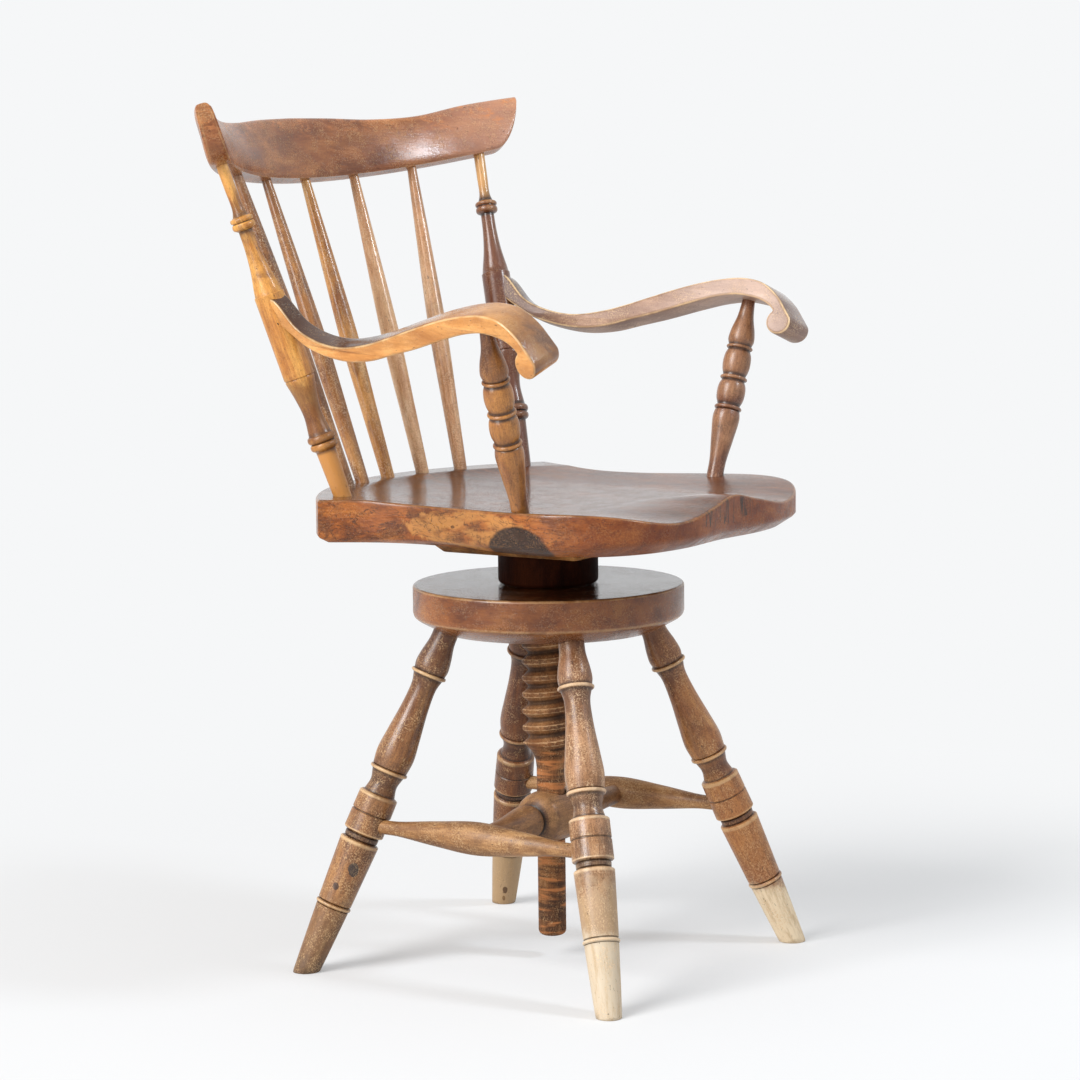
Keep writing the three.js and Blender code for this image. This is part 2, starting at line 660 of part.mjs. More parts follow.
// A point of the crest: angle round its bend, height, and distance out from its middle line
const crestCentre = crestMiddleBack - crestBend;
function crestPoint(angle, height, out) {
  const slope = Math.hypot(1, lean);
  const reach = crestBend + lean * (height - crestBottom) + out / slope;
  return new THREE.Vector3(
    reach * Math.sin(angle),
    crestCentre + reach * Math.cos(angle),
    height - (out * lean) / slope,
  );
}

function crestLowerEdge(angle) {
  const share = Math.abs(angle) / crestHalfAngle;
  return crestBottom + crestEndRise * share * share;
}

// The place under the crest that takes a post or a spindle
function crestSeat(offset) {
  const angle = Math.asin(offset / crestBend);
  return crestPoint(angle, crestLowerEdge(angle), 0);
}

// The posts' turnings keep their places below and above the arm, whatever its height
const armShare = (armAxisHeight - seatTop) / (crestSeat(postHeadOffset).z - seatTop);
const postRowShares = postShares.map((row) => row.map(([along, out]) => [
  along < 0 ? (1 + along) * armShare : armShare + along * (1 - armShare),
  out,
]));
const posts = hands.map(({ hand, side }) => {
  const [across, back] = postFootShares;
  const foot = new THREE.Vector3(side * across * seatHalfWidth, back * seatBack, seatTop);
  return standing(`back_post_${hand}`, postRowShares, postRadius, foot, crestSeat(side * postHeadOffset),
    postTenonDepth, crestTenonDepth, postSides, 'honey');
});

const spindles = spindleHeadShares.map((headShare, i) => {
  const footOffset = spindleFootShares[i] * seatHalfWidth;
  const footDepth = spindleFootArc - Math.sqrt(spindleFootArc ** 2 - footOffset ** 2);
  const foot = new THREE.Vector3(footOffset, spindleFootBackShare * seatBack - footDepth, seatTop);
  return standing(`spindle_${i + 1}`, spindleShares, spindleRadius, foot, crestSeat(headShare * postHeadOffset),
    spindleTenonDepth, crestTenonDepth, spindleSides, 'honey');
});

// Crest rail, bent in plan and leaning back, with an upswept ear at each end

function crestGeometry() {
  const upper = new THREE.SplineCurve(crestUpperShares.map((rise, i) => new THREE.Vector2(i, rise)));
  const rows = [];
  for (let i = 0; i <= crestStations; i += 1) {
    const spread = Math.sin(((i / crestStations) * 2 - 1) * (Math.PI / 2));
    const angle = spread * crestHalfAngle;
    const share = Math.abs(spread);
    const top = crestBottom + crestHeight + crestEarRise * upper.getPoint(share).y;
    const end = Math.max(0, (share - crestEarStartShare) / (1 - crestEarStartShare));
    const turnUp = 1 - Math.sqrt(1 - Math.min(end, 0.985) ** 2);
    const bottom = THREE.MathUtils.lerp(crestLowerEdge(angle), top, turnUp);
    const thickness = crestThickness * (1 - end * end / 4);
    const place = ([out, up]) => crestPoint(angle, THREE.MathUtils.lerp(bottom, top, up), out * thickness);
    rows.push(crestSectionShares.map(place));
  }
  return loft(rows);
}
const crest = piece('crest_rail', crestGeometry(), 'red_brown');
cutPiece(crest, [...posts, ...spindles].map((owner) => ({ owner, cutter: owner.userData.headSocket })));

// Arms: a side outline and a plan outline, each extruded, and the solid that both hold.
// In an arm's own frame X runs outwards, Y runs back and Z runs up.
function smoothed(points) {
  return new THREE.SplineCurve(points).getPoints((points.length - 1) * armCurveSteps);
}

function armSideShape() {
  const place = ([along, up]) => new THREE.Vector2(along * armReach, up * armDrop);
  const centre = place(scrollCentreShares);
  const scroll = Array.from({ length: scrollSteps + 1 }, (unused, i) => {
    const angle = THREE.MathUtils.lerp(scrollStart, scrollEnd, i / scrollSteps);
    return new THREE.Vector2(centre.x + scrollRadius * Math.cos(angle), centre.y - scrollRadius * Math.sin(angle));
  });
  const [upper, lower] = [armUpperShares, armLowerShares].map((shares) => smoothed(shares.map(place)));
  return new THREE.Shape([...upper, ...scroll, ...lower]);
}

function armPlanShape() {
  const place = ([along, out]) => new THREE.Vector2(out * armSpread, -along * armReach);
  const [inner, outer] = [armInnerShares, armOuterShares].map((shares) => smoothed(shares.map(place)));
  return new THREE.Shape([...inner, ...outer.reverse()]);
}

function armGeometry(side) {
  const width = 4 * armSpread;
  const sideways = new THREE.ExtrudeGeometry(armSideShape(), { depth: width, bevelEnabled: false, steps: 1 });
  sideways.translate(0, 0, -width / 2);
  sideways.applyMatrix4(new THREE.Matrix4().makeBasis(
    new THREE.Vector3(0, -1, 0), new THREE.Vector3(0, 0, 1), new THREE.Vector3(-1, 0, 0)));
  const plan = new THREE.ExtrudeGeometry(armPlanShape(), { depth: width, bevelEnabled: false, steps: 1 });
  plan.translate(0, 0, -width / 2);
  const geometry = shared(sideways, plan);
  return side < 0 ? geometry.scale(-1, 1, 1) : geometry;
}

function block(width, depth, height, centre) {
  return new THREE.BoxGeometry(width, depth, height).translate(centre.x, centre.y, centre.z);
}

// The point of a post's axis at a height of the given frame
function axisPoint(post, frame, height) {
  const low = new THREE.Vector3().applyMatrix4(post.matrix).applyMatrix4(frame);
  const high = axisUp.clone().applyMatrix4(post.matrix).applyMatrix4(frame);
  return low.lerp(high, (height - low.z) / (high.z - low.z));
}

const arms = [];
const armPins = [];
const supports = [];
hands.forEach(({ hand, side }, i) => {
  const post = posts[i];
  const place = axisPoint(post, new THREE.Matrix4(), armAxisHeight);
  place.x += side * armAxisOut;
  place.y -= armRootShare * armReach;
  const arm = piece(`arm_${hand}`, armGeometry(side), 'honey', place);
  arm.rotation.set(armPitch, side * armTilt, 0);
  arm.updateMatrix();

  const [footAcross, footForward] = supportFootShares;
  const [headAcross, headForward, headUp] = supportHeadShares;
  const foot = new THREE.Vector3(side * footAcross * seatHalfWidth, footForward * seatFront, seatTop);
  const head = new THREE.Vector3(side * headAcross * armSpread, -headForward * armReach, headUp * armDrop);
  const support = standing(`arm_support_${hand}`, supportShares, supportRadius, foot, head.applyMatrix4(arm.matrix),
    supportTenonDepth, supportHeadTenonDepth, supportSides, 'honey');

  const root = axisPoint(post, arm.matrix.clone().invert(), -armTenonDrop);
  const tenonEnd = root.y - postRadius + armTenonDepth;
  const tenonLength = armTenonDepth + armTenonRoot;
  const tenonMiddle = root.clone().setY(tenonEnd - tenonLength / 2);
  const tenon = block(armTenonWidth, tenonLength, armTenonHeight, tenonMiddle);
  const grown = 2 * fit;
  const mortise = block(armTenonWidth + grown, tenonLength + grown, armTenonHeight + grown, tenonMiddle);
  cutPiece(arm, [
    { owner: post, cutter: post.userData.grown },
    { owner: support, cutter: support.userData.headSocket },
  ]);
  arm.geometry = joined(arm.geometry, tenon);
  cutPiece(post, [{ owner: arm, cutter: mortise }]);
  const pinAt = root.clone().setY(tenonEnd - armPinSetback);
  const pinOut = Math.sqrt(postRadius ** 2 - (pinAt.y - root.y) ** 2) - fit;
  const pinStart = pinAt.clone().setX(pinAt.x + side * pinOut).applyMatrix4(arm.matrix);
  const pinEnd = pinAt.clone().setX(pinAt.x + side * (pinOut - armPinLength)).applyMatrix4(arm.matrix);
  const pin = piece(`arm_pin_${hand}`, rod(armPinRadius, 0, armPinLength, armPinSides), 'iron', pinStart, pinEnd);
  const pinHole = { owner: pin, cutter: rod(armPinRadius + fit, -overrun, armPinLength + fit, armPinSides) };
  cutPiece(post, [pinHole]);
  cutPiece(arm, [pinHole]);
  arms.push(arm);
  armPins.push(pin);
  supports.push(support);
});
cutPiece(seat, [
  { cutter: headBore },
  ...cleatScrewCuts,
  ...[...posts, ...spindles, ...supports].map((owner) => ({ owner, cutter: owner.userData.footSocket })),
]);

const base = new THREE.Group();
base.add(disc, ...legs, ...sideStretchers, crossStretcher);
const lifting = new THREE.Group();
lifting.add(collar);
const turning = new THREE.Group();
turning.add(screw, cleat, ...cleatScrews, seat, ...posts, ...spindles, crest, ...arms, ...armPins, ...supports);
const chair = new THREE.Group();
chair.add(base, lifting, turning);

export default chair;
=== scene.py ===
from math import asin, cos, hypot, pi, radians, sin, sqrt

import bmesh
import bpy
import numpy as np
from mathutils import Matrix, Vector, geometry


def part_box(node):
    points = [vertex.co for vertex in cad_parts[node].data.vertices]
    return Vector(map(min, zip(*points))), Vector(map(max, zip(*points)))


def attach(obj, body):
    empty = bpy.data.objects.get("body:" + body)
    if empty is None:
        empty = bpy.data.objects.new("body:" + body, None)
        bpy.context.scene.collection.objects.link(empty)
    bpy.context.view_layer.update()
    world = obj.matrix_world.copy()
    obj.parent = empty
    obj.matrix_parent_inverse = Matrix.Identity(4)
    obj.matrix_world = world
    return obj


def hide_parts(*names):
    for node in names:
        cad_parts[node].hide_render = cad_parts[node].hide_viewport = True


# Fine surfaces and worn, stained wood for the bankers swivel chair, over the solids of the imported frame.
# Metres in the row frame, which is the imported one: +Z up, the sitter faces -Y with the right hand towards -X.
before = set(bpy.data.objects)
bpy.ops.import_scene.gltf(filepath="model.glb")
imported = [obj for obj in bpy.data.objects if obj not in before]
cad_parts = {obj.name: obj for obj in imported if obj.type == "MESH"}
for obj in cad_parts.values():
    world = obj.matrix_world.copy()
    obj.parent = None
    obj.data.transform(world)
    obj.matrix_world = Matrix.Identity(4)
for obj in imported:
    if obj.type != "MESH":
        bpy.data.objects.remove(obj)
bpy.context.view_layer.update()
X, Y, Z = 0, 1, 2
HANDS = (("right", -1), ("left", 1))

# Base
DISC_LOW, DISC_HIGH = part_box("base_disc")
DISC_RADIUS = DISC_HIGH.x
DISC_SIDE = 0.033  # upright part of the disc's edge
DISC_FOOT_RADIUS = 0.117
DISC_ROUND = 0.003
# Points of the disc's edge: height over its underside and distance past its foot's radius, then the same from the
# lower end of its upright part
DISC_FOOT_EDGE = ((0, -0.002), (0.0008, 0.001))
DISC_SIDE_EDGE = ((-0.003, -0.0045), (0, -0.0012), (0.004, 0))
DISC_SIDE_FREE = (0.006, 0.001)  # what the side's even rows leave free at its lower and upper end
DISC_TOP_FREE = 0.002  # what the upper face's rings leave free at its rim
DISC_TOP_INNER = 0.05  # radius of the last of them before the bore
DISC_WEAR = (0.001, 0.0016, 0.005)  # the worn rim's distance under the top, and its reach down and inwards
DISC_LOW_WEAR = (0.7, 0.003)  # relief and reach of the wear at the upright part's lower end
LEG_TOP_OFFSET = 0.079
LEG_FOOT_OFFSET = 0.1905
LEG_RADIUS = 0.0218
STRETCHER_HEIGHT = 0.155
SIDE_STRETCHER_RADIUS = 0.0175
CROSS_STRETCHER_RADIUS = 0.029

# Wooden screw
PITCH = 0.018
CREST_RADIUS = 0.0295
ROOT_RADIUS = 0.0228
THREAD_END = DISC_HIGH.z - 0.173
NECK_LENGTH = 0.027
SHANK_RADIUS = 0.015
SCREW_TIP = 0.024
TIP_ROUND = 0.006
HEAD_RADIUS = 0.02
THREAD_PHASE = 0.0017
THREAD_PLAY = 0.0014
HUB_PLAY = 0.0016
THREAD_STEP = 0.0009  # height between two rows of points
SHANK_STEP = 0.006
THREAD_RELIEF = (1.7, -0.9)  # relief per share of the thread's depth, and at its root, where the low relief lays grime and painted shade
NECK_SHARES = ((0, 0), (0.35, 0.1), (0.7, 0.42), (1, 1))
# The thread's outline from the middle of a crest to the middle of a root: shares of the pitch and of the depth
FLANK_SHARES = ((0, 1), (0.085, 1), (0.12, 0.94), (0.2, 0.7), (0.32, 0.36), (0.42, 0.1), (0.47, 0.01), (0.5, 0))

# Collar, and the board under the seat
BORE_RADIUS = HEAD_RADIUS + 0.001
COLLAR_ROUND = 0.005
CLEAT_BEVEL = 0.011
CLEAT_CORNER = 0.004
# Rows of the board's edge: share of the bevel, height from its underside or (negative) its top, and relief
CLEAT_ROWS = ((1, 0, 0), (0.9, 0.0005, 0.5), (0.12, -0.0065, 0.3), (0, -0.0045, 0.6))

# Seat
SEAT_TOP = 0.511
SEAT_BOTTOM = SEAT_TOP - 0.045
SEAT_HALF_WIDTH = 0.216
SEAT_FRONT = 0.232
SEAT_BACK = 0.229
SEAT_CHAMFER = (0.012, 0.006)  # width and height at the back
SEAT_FRONT_CHAMFER = (0.02, 0.012)
SEAT_CHAMFER_ROWS = ((0.92, 0.05, 0), (0.14, 0.86, 0.2))  # shares of its width and height, and relief
SEAT_SIDE_SHARES = (0.2, 0.4, 0.6, 0.8, 0.95)
SEAT_RIM = 0.0035  # rounding of the worn upper rim
SEAT_EDGE_EASE = (0.001, 0.0012)  # first ring's step inwards, and height of the ridge over the chamfer
SEAT_RIDGES = (0.45, 0.75)  # relief of that ridge, and of the rim
SEAT_RING_SHARES = (*np.linspace(0.97, 0.6, 30), *np.linspace(0.58, 0.02, 26))  # of the way out to the edge
DISH_DEPTH = 0.011
DISH_CENTRE_BACK = 0.04
DISH_RADIUS = 0.235
DISH_SLOPE = 0.034
DISH_SIDE_LOSS = 0.75
LEG_HOLLOW_DEPTH = 0.014
LEG_HOLLOW_OFFSET = 0.11
LEG_HOLLOW_WIDTH = 0.105
LEG_HOLLOW_REAR = 0.06
POMMEL_RISE = 0.0035
POMMEL_WIDTH = 0.042
FOOT_GRIME_AND_SHADE = (-0.9, 0.004)  # relief and reach of the grime and painted shade on the seat round what stands in it
FOOT_SHARES = (0.75, 0.62, 0.6)  # radius of a spindle, a post and a support where they enter the seat

# Back
LEAN = 0.32
POST_FOOT_SHARES = (0.794, 0.629)
POST_SPLAY = 0.0619
POST_RADIUS = 0.0163
SPINDLE_RADIUS = 0.0102
SPINDLE_FOOT_ARC = 0.248
SPINDLE_FOOT_BACK_SHARE = 0.908
SPINDLE_FOOT_SHARES = (-0.491, -0.262, 0, 0.262, 0.491)
SPINDLE_HEAD_SHARES = (-0.681, -0.343, 0, 0.343, 0.681)
CREST_BEND = 0.395
CREST_MIDDLE_BACK = 0.3125
CREST_BOTTOM = 0.834
CREST_END_RISE = 0.032
CREST_HEIGHT = 0.067
CREST_EAR_RISE = 0.02
CREST_THICKNESS = 0.025
CREST_END_THINNING = 0.25
CREST_OVERHANG = 0.0475
CREST_TURN_UP = 0.9
CREST_TURN_LIMIT = 0.985
CREST_WEAR = (2.2, 0.8, 0.5)  # relief per bend of the section, its most, and the relief of the ends
END_ROUND = 0.0018  # rounding of the crest's ends
END_STATIONS = (0.996, 0.9985, 1)
POST_HEAD_OFFSET = POST_FOOT_SHARES[0] * SEAT_HALF_WIDTH + POST_SPLAY
CREST_HALF_ANGLE = asin(POST_HEAD_OFFSET / CREST_BEND) + CREST_OVERHANG / CREST_BEND

# Arms and their supports
ARM_TILT = radians(17.5)
ARM_PITCH = radians(1.4)
ARM_AXIS_HEIGHT = 0.6865
ARM_AXIS_OUT = 0.035
ARM_REACH = 0.167
ARM_ROOT_SHARE = 1.16
ARM_DROP = 0.018
ARM_SPREAD = 0.043
ARM_RIM = 0.0028  # rounding of the arm's long edges
ARM_WEAR = 0.8  # relief of its long edges
ARM_TOP_WAY = (0.6, 0.8)  # the way, forward and up, that counts as the top of the arm
SCROLL_RADIUS = 0.014
SCROLL_CENTRE_SHARES = (0.916, -0.5)
SCROLL_TURN = (radians(-20), radians(235))
SUPPORT_FOOT_SHARES = (0.9, -0.403)
SUPPORT_HEAD_SHARES = (0.346, 0.595, 1.014)
SUPPORT_RADIUS = 0.0156

# Fineness
TURNED_SIDES = 56
SPINDLE_SIDES = 32
SCREW_SIDES = 96
DISC_SIDES = 160
SEAT_SPOKES = 320
SEAT_BACK_SPOKES = 96
BORE_ROWS = 50
ARM_POINTS = 340
ARM_RIM_ROWS = 5
SCROLL_POINTS = 30
CREST_STATIONS = 161
SPAN_STEPS = 7
SEAT_SPAN_STEPS = 24
CREST_SPAN_STEPS = 12
ROUND_STEPS = 7  # points round the screw's tip and the seat's rim
RIM_STEPS = 6
CORNER_STEPS = 5
DISC_SIDE_ROWS = 6
DISC_TOP_ROWS = 12
BEAD_STEPS = 9
BEAD_RISE = (0.55, 0.16)  # how high a bead stands at most, as shares of its width and of its radius
BAND_STEPS = 12
BAND_EASE = 0.001
SOCKET_DEPTH = 0.004  # how far a turned end runs on into the piece that holds it
FOOT_DEPTH = 0.02
LEG_IN_DISC = 0.012
KEPT_IN = 0.0005  # how far the fine seat and crest stay inside the solids
GROOVES = (0.0045, 0.0013)  # how far along a piece its relief is compared, and the height that counts in full
SWELLINGS = (0.016, 0.003)
SHARP_ANGLE = radians(38)
SHARP_RIM_ANGLE = radians(50)
SHARP_THREAD_ANGLE = radians(60)

# Turned outlines. A row is a curve through its points, a half-round bead, or a straight band with eased
# shoulders. A point is a share of the piece's length and a share of its largest radius.
LEG_ROWS = (
    ("curve", (0, 0.62), (0.03, 0.64), (0.07, 0.78), (0.1, 0.84), (0.117, 0.79)),
    ("bead", (0.118, 0.89), (0.129, 0.89)),
    ("curve", (0.131, 0.74), (0.158, 0.63), (0.22, 0.67), (0.3, 0.84), (0.36, 0.95), (0.399, 0.88)),
    ("bead", (0.401, 0.95), (0.413, 0.95)),
    ("curve", (0.416, 0.8), (0.445, 0.68), (0.474, 0.78)),
    ("band", (0.478, 0.97), (0.532, 0.985)),
    ("band", (0.534, 0.985), (0.59, 1)),
    ("band", (0.594, 0.85), (0.61, 0.84)),
    ("band", (0.614, 0.98), (0.796, 0.84)),
    ("bead", (0.797, 0.89), (0.809, 0.89)),
    ("curve", (0.811, 0.82), (0.9, 0.73), (1.05, 0.56)),
)
POST_ROWS = (  # from -1 at the foot, through 0 at the arm, to 1 at the crest
    ("curve", (-1, 0.57), (-0.86, 0.61), (-0.724, 0.65)),
    ("bead", (-0.714, 0.9), (-0.675, 0.9)),
    ("bead", (-0.671, 0.93), (-0.63, 0.93)),
    ("curve", (-0.622, 0.74), (-0.508, 0.6), (-0.39, 0.76), (-0.3, 0.97)),
    ("band", (-0.29, 1), (0.218, 0.98)),
    ("curve", (0.252, 0.86), (0.37, 0.62), (0.492, 0.49), (0.604, 0.46)),
    ("bead", (0.614, 0.76), (0.653, 0.76)),
    ("bead", (0.657, 0.76), (0.685, 0.76)),
    ("curve", (0.693, 0.5), (0.736, 0.37), (0.858, 0.37), (1, 0.38)),
)
SPINDLE_ROWS = (("curve", (0, 0.71), (0.2, 0.84), (0.45, 1), (0.7, 0.82), (1, 0.51)),)
SUPPORT_ROWS = (
    ("curve", (0, 0.58), (0.07, 0.59), (0.2, 0.79), (0.32, 0.95), (0.355, 0.88)),
    ("bead", (0.362, 0.96), (0.385, 0.96)),
    ("curve", (0.392, 0.8), (0.425, 0.95), (0.466, 1), (0.505, 0.94), (0.53, 0.8)),
    ("bead", (0.534, 0.96), (0.555, 0.96)),
    ("curve", (0.562, 0.8), (0.595, 0.93), (0.635, 0.98), (0.68, 0.92), (0.708, 0.78)),
    ("bead", (0.712, 0.93), (0.731, 0.93)),
    ("curve", (0.738, 0.82), (0.765, 0.92), (0.82, 0.84), (0.9, 0.58), (1, 0.44)),
)
SIDE_STRETCHER_ROWS = (
    ("curve", (0, 0.43), (0.08, 0.45), (0.28, 0.75), (0.5, 1), (0.72, 0.75), (0.92, 0.45), (1, 0.43)),
)
CROSS_STRETCHER_ROWS = (
    ("curve", (0, 0.36), (0.12, 0.42), (0.23, 0.58), (0.3, 0.66), (0.335, 0.6)),
    ("band", (0.34, 0.52), (0.35, 0.52)),
    ("curve", (0.352, 0.56), (0.385, 0.9), (0.43, 0.99), (0.5, 1), (0.57, 0.99), (0.615, 0.9), (0.648, 0.56)),
    ("band", (0.65, 0.52), (0.66, 0.52)),
    ("curve", (0.665, 0.6), (0.7, 0.66), (0.77, 0.58), (0.88, 0.42), (1, 0.36)),
)

# Sawn outlines, as shares of the sizes above
SEAT_EDGE_SHARES = (
    (1, 0.63), (0.9, 0.42), (0.865, 0.2), (0.885, -0.05), (0.955, -0.36), (0.965, -0.6),
    (0.87, -0.82), (0.68, -0.95), (0.4, -1.01), (0, -1),
)
CREST_SECTION_SHARES = (
    (-0.42, 0), (0.42, 0), (0.5, 0.06), (0.47, 0.5), (0.4, 0.9), (0.28, 1), (-0.14, 1), (-0.3, 0.92), (-0.5, 0.06),
)
CREST_UPPER_SHARES = (0, -0.05, -0.16, -0.02, 0.56, 1)
ARM_UPPER_SHARES = (
    (-1.2, 1.25), (-1.12, 1.05), (-0.96, -0.28), (-0.8, -0.8), (-0.6, -0.97), (-0.39, -0.64), (-0.2, -0.1),
    (-0.03, 0.47), (0.14, 1.03), (0.3, 1.5), (0.46, 1.86), (0.62, 2.04), (0.76, 1.84), (0.88, 1.1), (0.96, 0.2),
)
ARM_LOWER_SHARES = (
    (0.84, 0.4), (0.8, 0.62), (0.75, 0.79), (0.68, 0.9), (0.585, 0.95), (0.44, 0.72), (0.27, 0.22), (0.03, -0.56),
    (-0.16, -1.08), (-0.33, -1.56), (-0.52, -1.82), (-0.7, -1.74), (-0.88, -1.4), (-1.02, -0.8), (-1.1, -0.4),
)
ARM_INNER_SHARES = (
    (-1.24, -1.08), (-1.1, -0.98), (-0.74, -0.69), (-0.4, -0.56), (0.12, -0.47), (0.62, -0.33), (1.1, -0.12),
)
ARM_OUTER_SHARES = (
    (-1.24, -0.6), (-1.1, -0.46), (-0.74, -0.08), (-0.38, 0.14), (0.12, 0.32), (0.62, 0.6), (1.1, 1.02),
)

# Camera, solved from the feet, the disc and the floor in the photograph, and light
PHOTO_SIDE = 1080
FOCAL_PIXELS = 3600
SENSOR_WIDTH = 36
CAMERA_PLACE = Vector((-3.1943, -2.0759, 0.9359))
CAMERA_PITCH = 0.125933
CAMERA_ROLL = -0.01234338
CAMERA_YAW = -0.00222945
CHAIR_TURN = 0.99454663
CHAIR_MIDDLE = (0, 0, 0.45)
CREST_LIT = (0.17, 0.28, 0.87)  # the place on the crest that has the light spot
AMBIENT = 0.5  # strength of the light from all round
FLOOR_REACH = 30
FLOOR_DROP = 0.0003
FLOOR_FADE = (0.45, 1.3, 0.3, 1)  # near and far distance, and the share of the backdrop's tone at each


# Curves and grids
def spline(points, steps=SPAN_STEPS):
    """Points along a smooth line through the given ones."""
    points = np.array(points, float)
    padded = np.vstack([2 * points[0] - points[1], points, 2 * points[-1] - points[-2]])
    out = []
    for before, start, end, after in zip(padded, padded[1:], padded[2:], padded[3:]):
        gaps = [max(np.linalg.norm(b - a), 1e-9) ** 0.5 for a, b in ((before, start), (start, end), (end, after))]
        leaving = (start - before) / gaps[0] - (end - before) / (gaps[0] + gaps[1]) + (end - start) / gaps[1]
        arriving = (end - start) / gaps[1] - (after - start) / (gaps[1] + gaps[2]) + (after - end) / gaps[2]
        leaving, arriving = leaving * gaps[1], arriving * gaps[1]
        for t in np.arange(steps) / steps:
            out.append(
                (2 * t**3 - 3 * t**2 + 1) * start + (t**3 - 2 * t**2 + t) * leaving
                + (3 * t**2 - 2 * t**3) * end + (t**3 - t**2) * arriving
            )
    return np.vstack([out, points[-1]])


def spaced(points, count):
    """count points at even distances along a line of points."""
    points = np.asarray(points, float)
    along = np.concatenate([[0], np.cumsum(np.linalg.norm(np.diff(points, axis=0), axis=1))])
    wanted = np.linspace(0, along[-1], count)
    return np.stack([np.interp(wanted, along, column) for column in points.T], axis=1)


def smoothstep(value, low, high):
    share = np.clip((value - low) / (high - low), 0, 1)
    return share * share * (3 - 2 * share)


def ring_of(radius, height, angles):
    """Points at some angles round the Z axis."""
    radius = np.broadcast_to(radius, len(angles))
    return np.stack([radius * np.cos(angles), radius * np.sin(angles), np.full(len(angles), height)], axis=1)


def even_angles(sides):
    return np.linspace(0, 2 * pi, sides, endpoint=False)


def turned_points(outline, sides=TURNED_SIDES):
    return np.vstack([ring_of(radius, height, even_angles(sides)) for height, radius in outline])


def ring_faces(rows, sides, joined=False):
    """Quads between rows of rings, and where joined also from the last row back to the first."""
    faces = []
    for row in range(rows if joined else rows - 1):
        low, high = row * sides, (row + 1) % rows * sides
        for i in range(sides):
            j = (i + 1) % sides
            faces.append((low + i, low + j, high + j, high + i))
    return faces


def capped_faces(rows, sides):
    """Faces of a ring grid closed by a flat face at each end."""
    last = (rows - 1) * sides
    return ring_faces(rows, sides) + [tuple(reversed(range(sides))), tuple(range(last, last + sides))]


def placed(start, end):
    """The frame whose Z runs from start to end."""
    start, end = Vector(start), Vector(end)
    return Matrix.Translation(start) @ (end - start).to_track_quat("Z", "Y").to_matrix().to_4x4()


def moved(points, matrix):
    turn = np.array(matrix.to_3x3())
    return np.asarray(points) @ turn.T + np.array(matrix.translation)


def mirrored(point, side):
    return Vector((side * point.x, point.y, point.z))


# Pieces
def linked(name, data):
    obj = bpy.data.objects.new(name, data)
    bpy.context.scene.collection.objects.link(obj)
    return obj


def mesh_object(name, points, faces):
    mesh = bpy.data.meshes.new(name)
    mesh.from_pydata([tuple(p) for p in points], [], faces)
    return linked(name, mesh)


GRAIN_SHIFT = np.array([0.37, 0.61, 0.83])  # from each piece to the next, so that no two have the same figure
piece_count = 0


def add_piece(name, points, faces, body, material, nodes, grain=None, relief=None, bulge=None, mask=None,
              sharp=SHARP_ANGLE):
    """A smooth mesh that stands for CAD nodes. It carries its own grain coordinates, with Z along the grain,
    a relief from -1 in a groove to 1 on a worn ridge, the same for broad hollows and swellings, and a mask
    that marks its upper face."""
    global piece_count
    piece_count += 1
    obj = mesh_object(name, points, faces)
    mesh = obj.data
    grain = np.asarray(points if grain is None else grain, float) + GRAIN_SHIFT * piece_count
    stored = mesh.attributes.new("grain", "FLOAT_VECTOR", "POINT")
    stored.data.foreach_set("vector", grain.astype(np.float32).ravel())
    for key, values in (("relief", relief), ("bulge", bulge), ("mask", mask)):
        values = np.zeros(len(points)) if values is None else np.asarray(values, float)
        mesh.attributes.new(key, "FLOAT", "POINT").data.foreach_set("value", values.astype(np.float32))
    mesh.polygons.foreach_set("use_smooth", [True] * len(mesh.polygons))
    mesh.set_sharp_from_angle(angle=sharp)
    mesh.materials.append(material)
    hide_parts(*nodes)
    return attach(obj, body)


def outline_of(rows, length, radius):
    """Heights and radii along a turned piece."""
    out = []
    for form, *shares in rows:
        points = np.array(shares, float) * (length, radius)
        if form == "curve":
            out.extend(spline(points))
            continue
        (start, first), (end, last) = points
        if form == "bead":
            rise = min(BEAD_RISE[0] * (end - start), BEAD_RISE[1] * first)
            for angle in np.linspace(-pi / 2, pi / 2, BEAD_STEPS):
                height = (start + end) / 2 + (end - start) / 2 * sin(angle)
                out.append((height, first - rise + rise * cos(angle)))
        else:
            ease = min(BAND_EASE, (end - start) / 4)
            heights, radii = np.linspace((start + ease, first), (end - ease, last), BAND_STEPS).T
            out.extend([(start, first - ease), *zip(heights, radii), (end, last - ease)])
    return np.array(out)


def relief_of(outline, reach, full):
    """How far each point of a turned outline stands out from its surroundings, from -1 to 1."""
    step = reach / 9
    heights, radii = outline.T
    even = np.arange(heights.min() - 4 * reach, heights.max() + 4 * reach, step)
    shape = np.interp(even, heights, radii)
    weights = np.exp(-((np.arange(-3 * reach, 3 * reach, step) / reach) ** 2))
    around = np.convolve(shape, weights / weights.sum(), "same")
    inner = np.clip(heights, heights.min() + reach, heights.max() - reach)
    return np.clip((np.interp(inner, heights, radii) - np.interp(inner, even, around)) / full, -1, 1)


# Materials
def linear(tone):
    """The scene's own colour for a hex code."""
    parts = [part / 255 for part in bytes.fromhex(tone)]
    return tuple(c / 12.92 if c <= 0.04045 else ((c + 0.055) / 1.055) ** 2.4 for c in parts) + (1.0,)


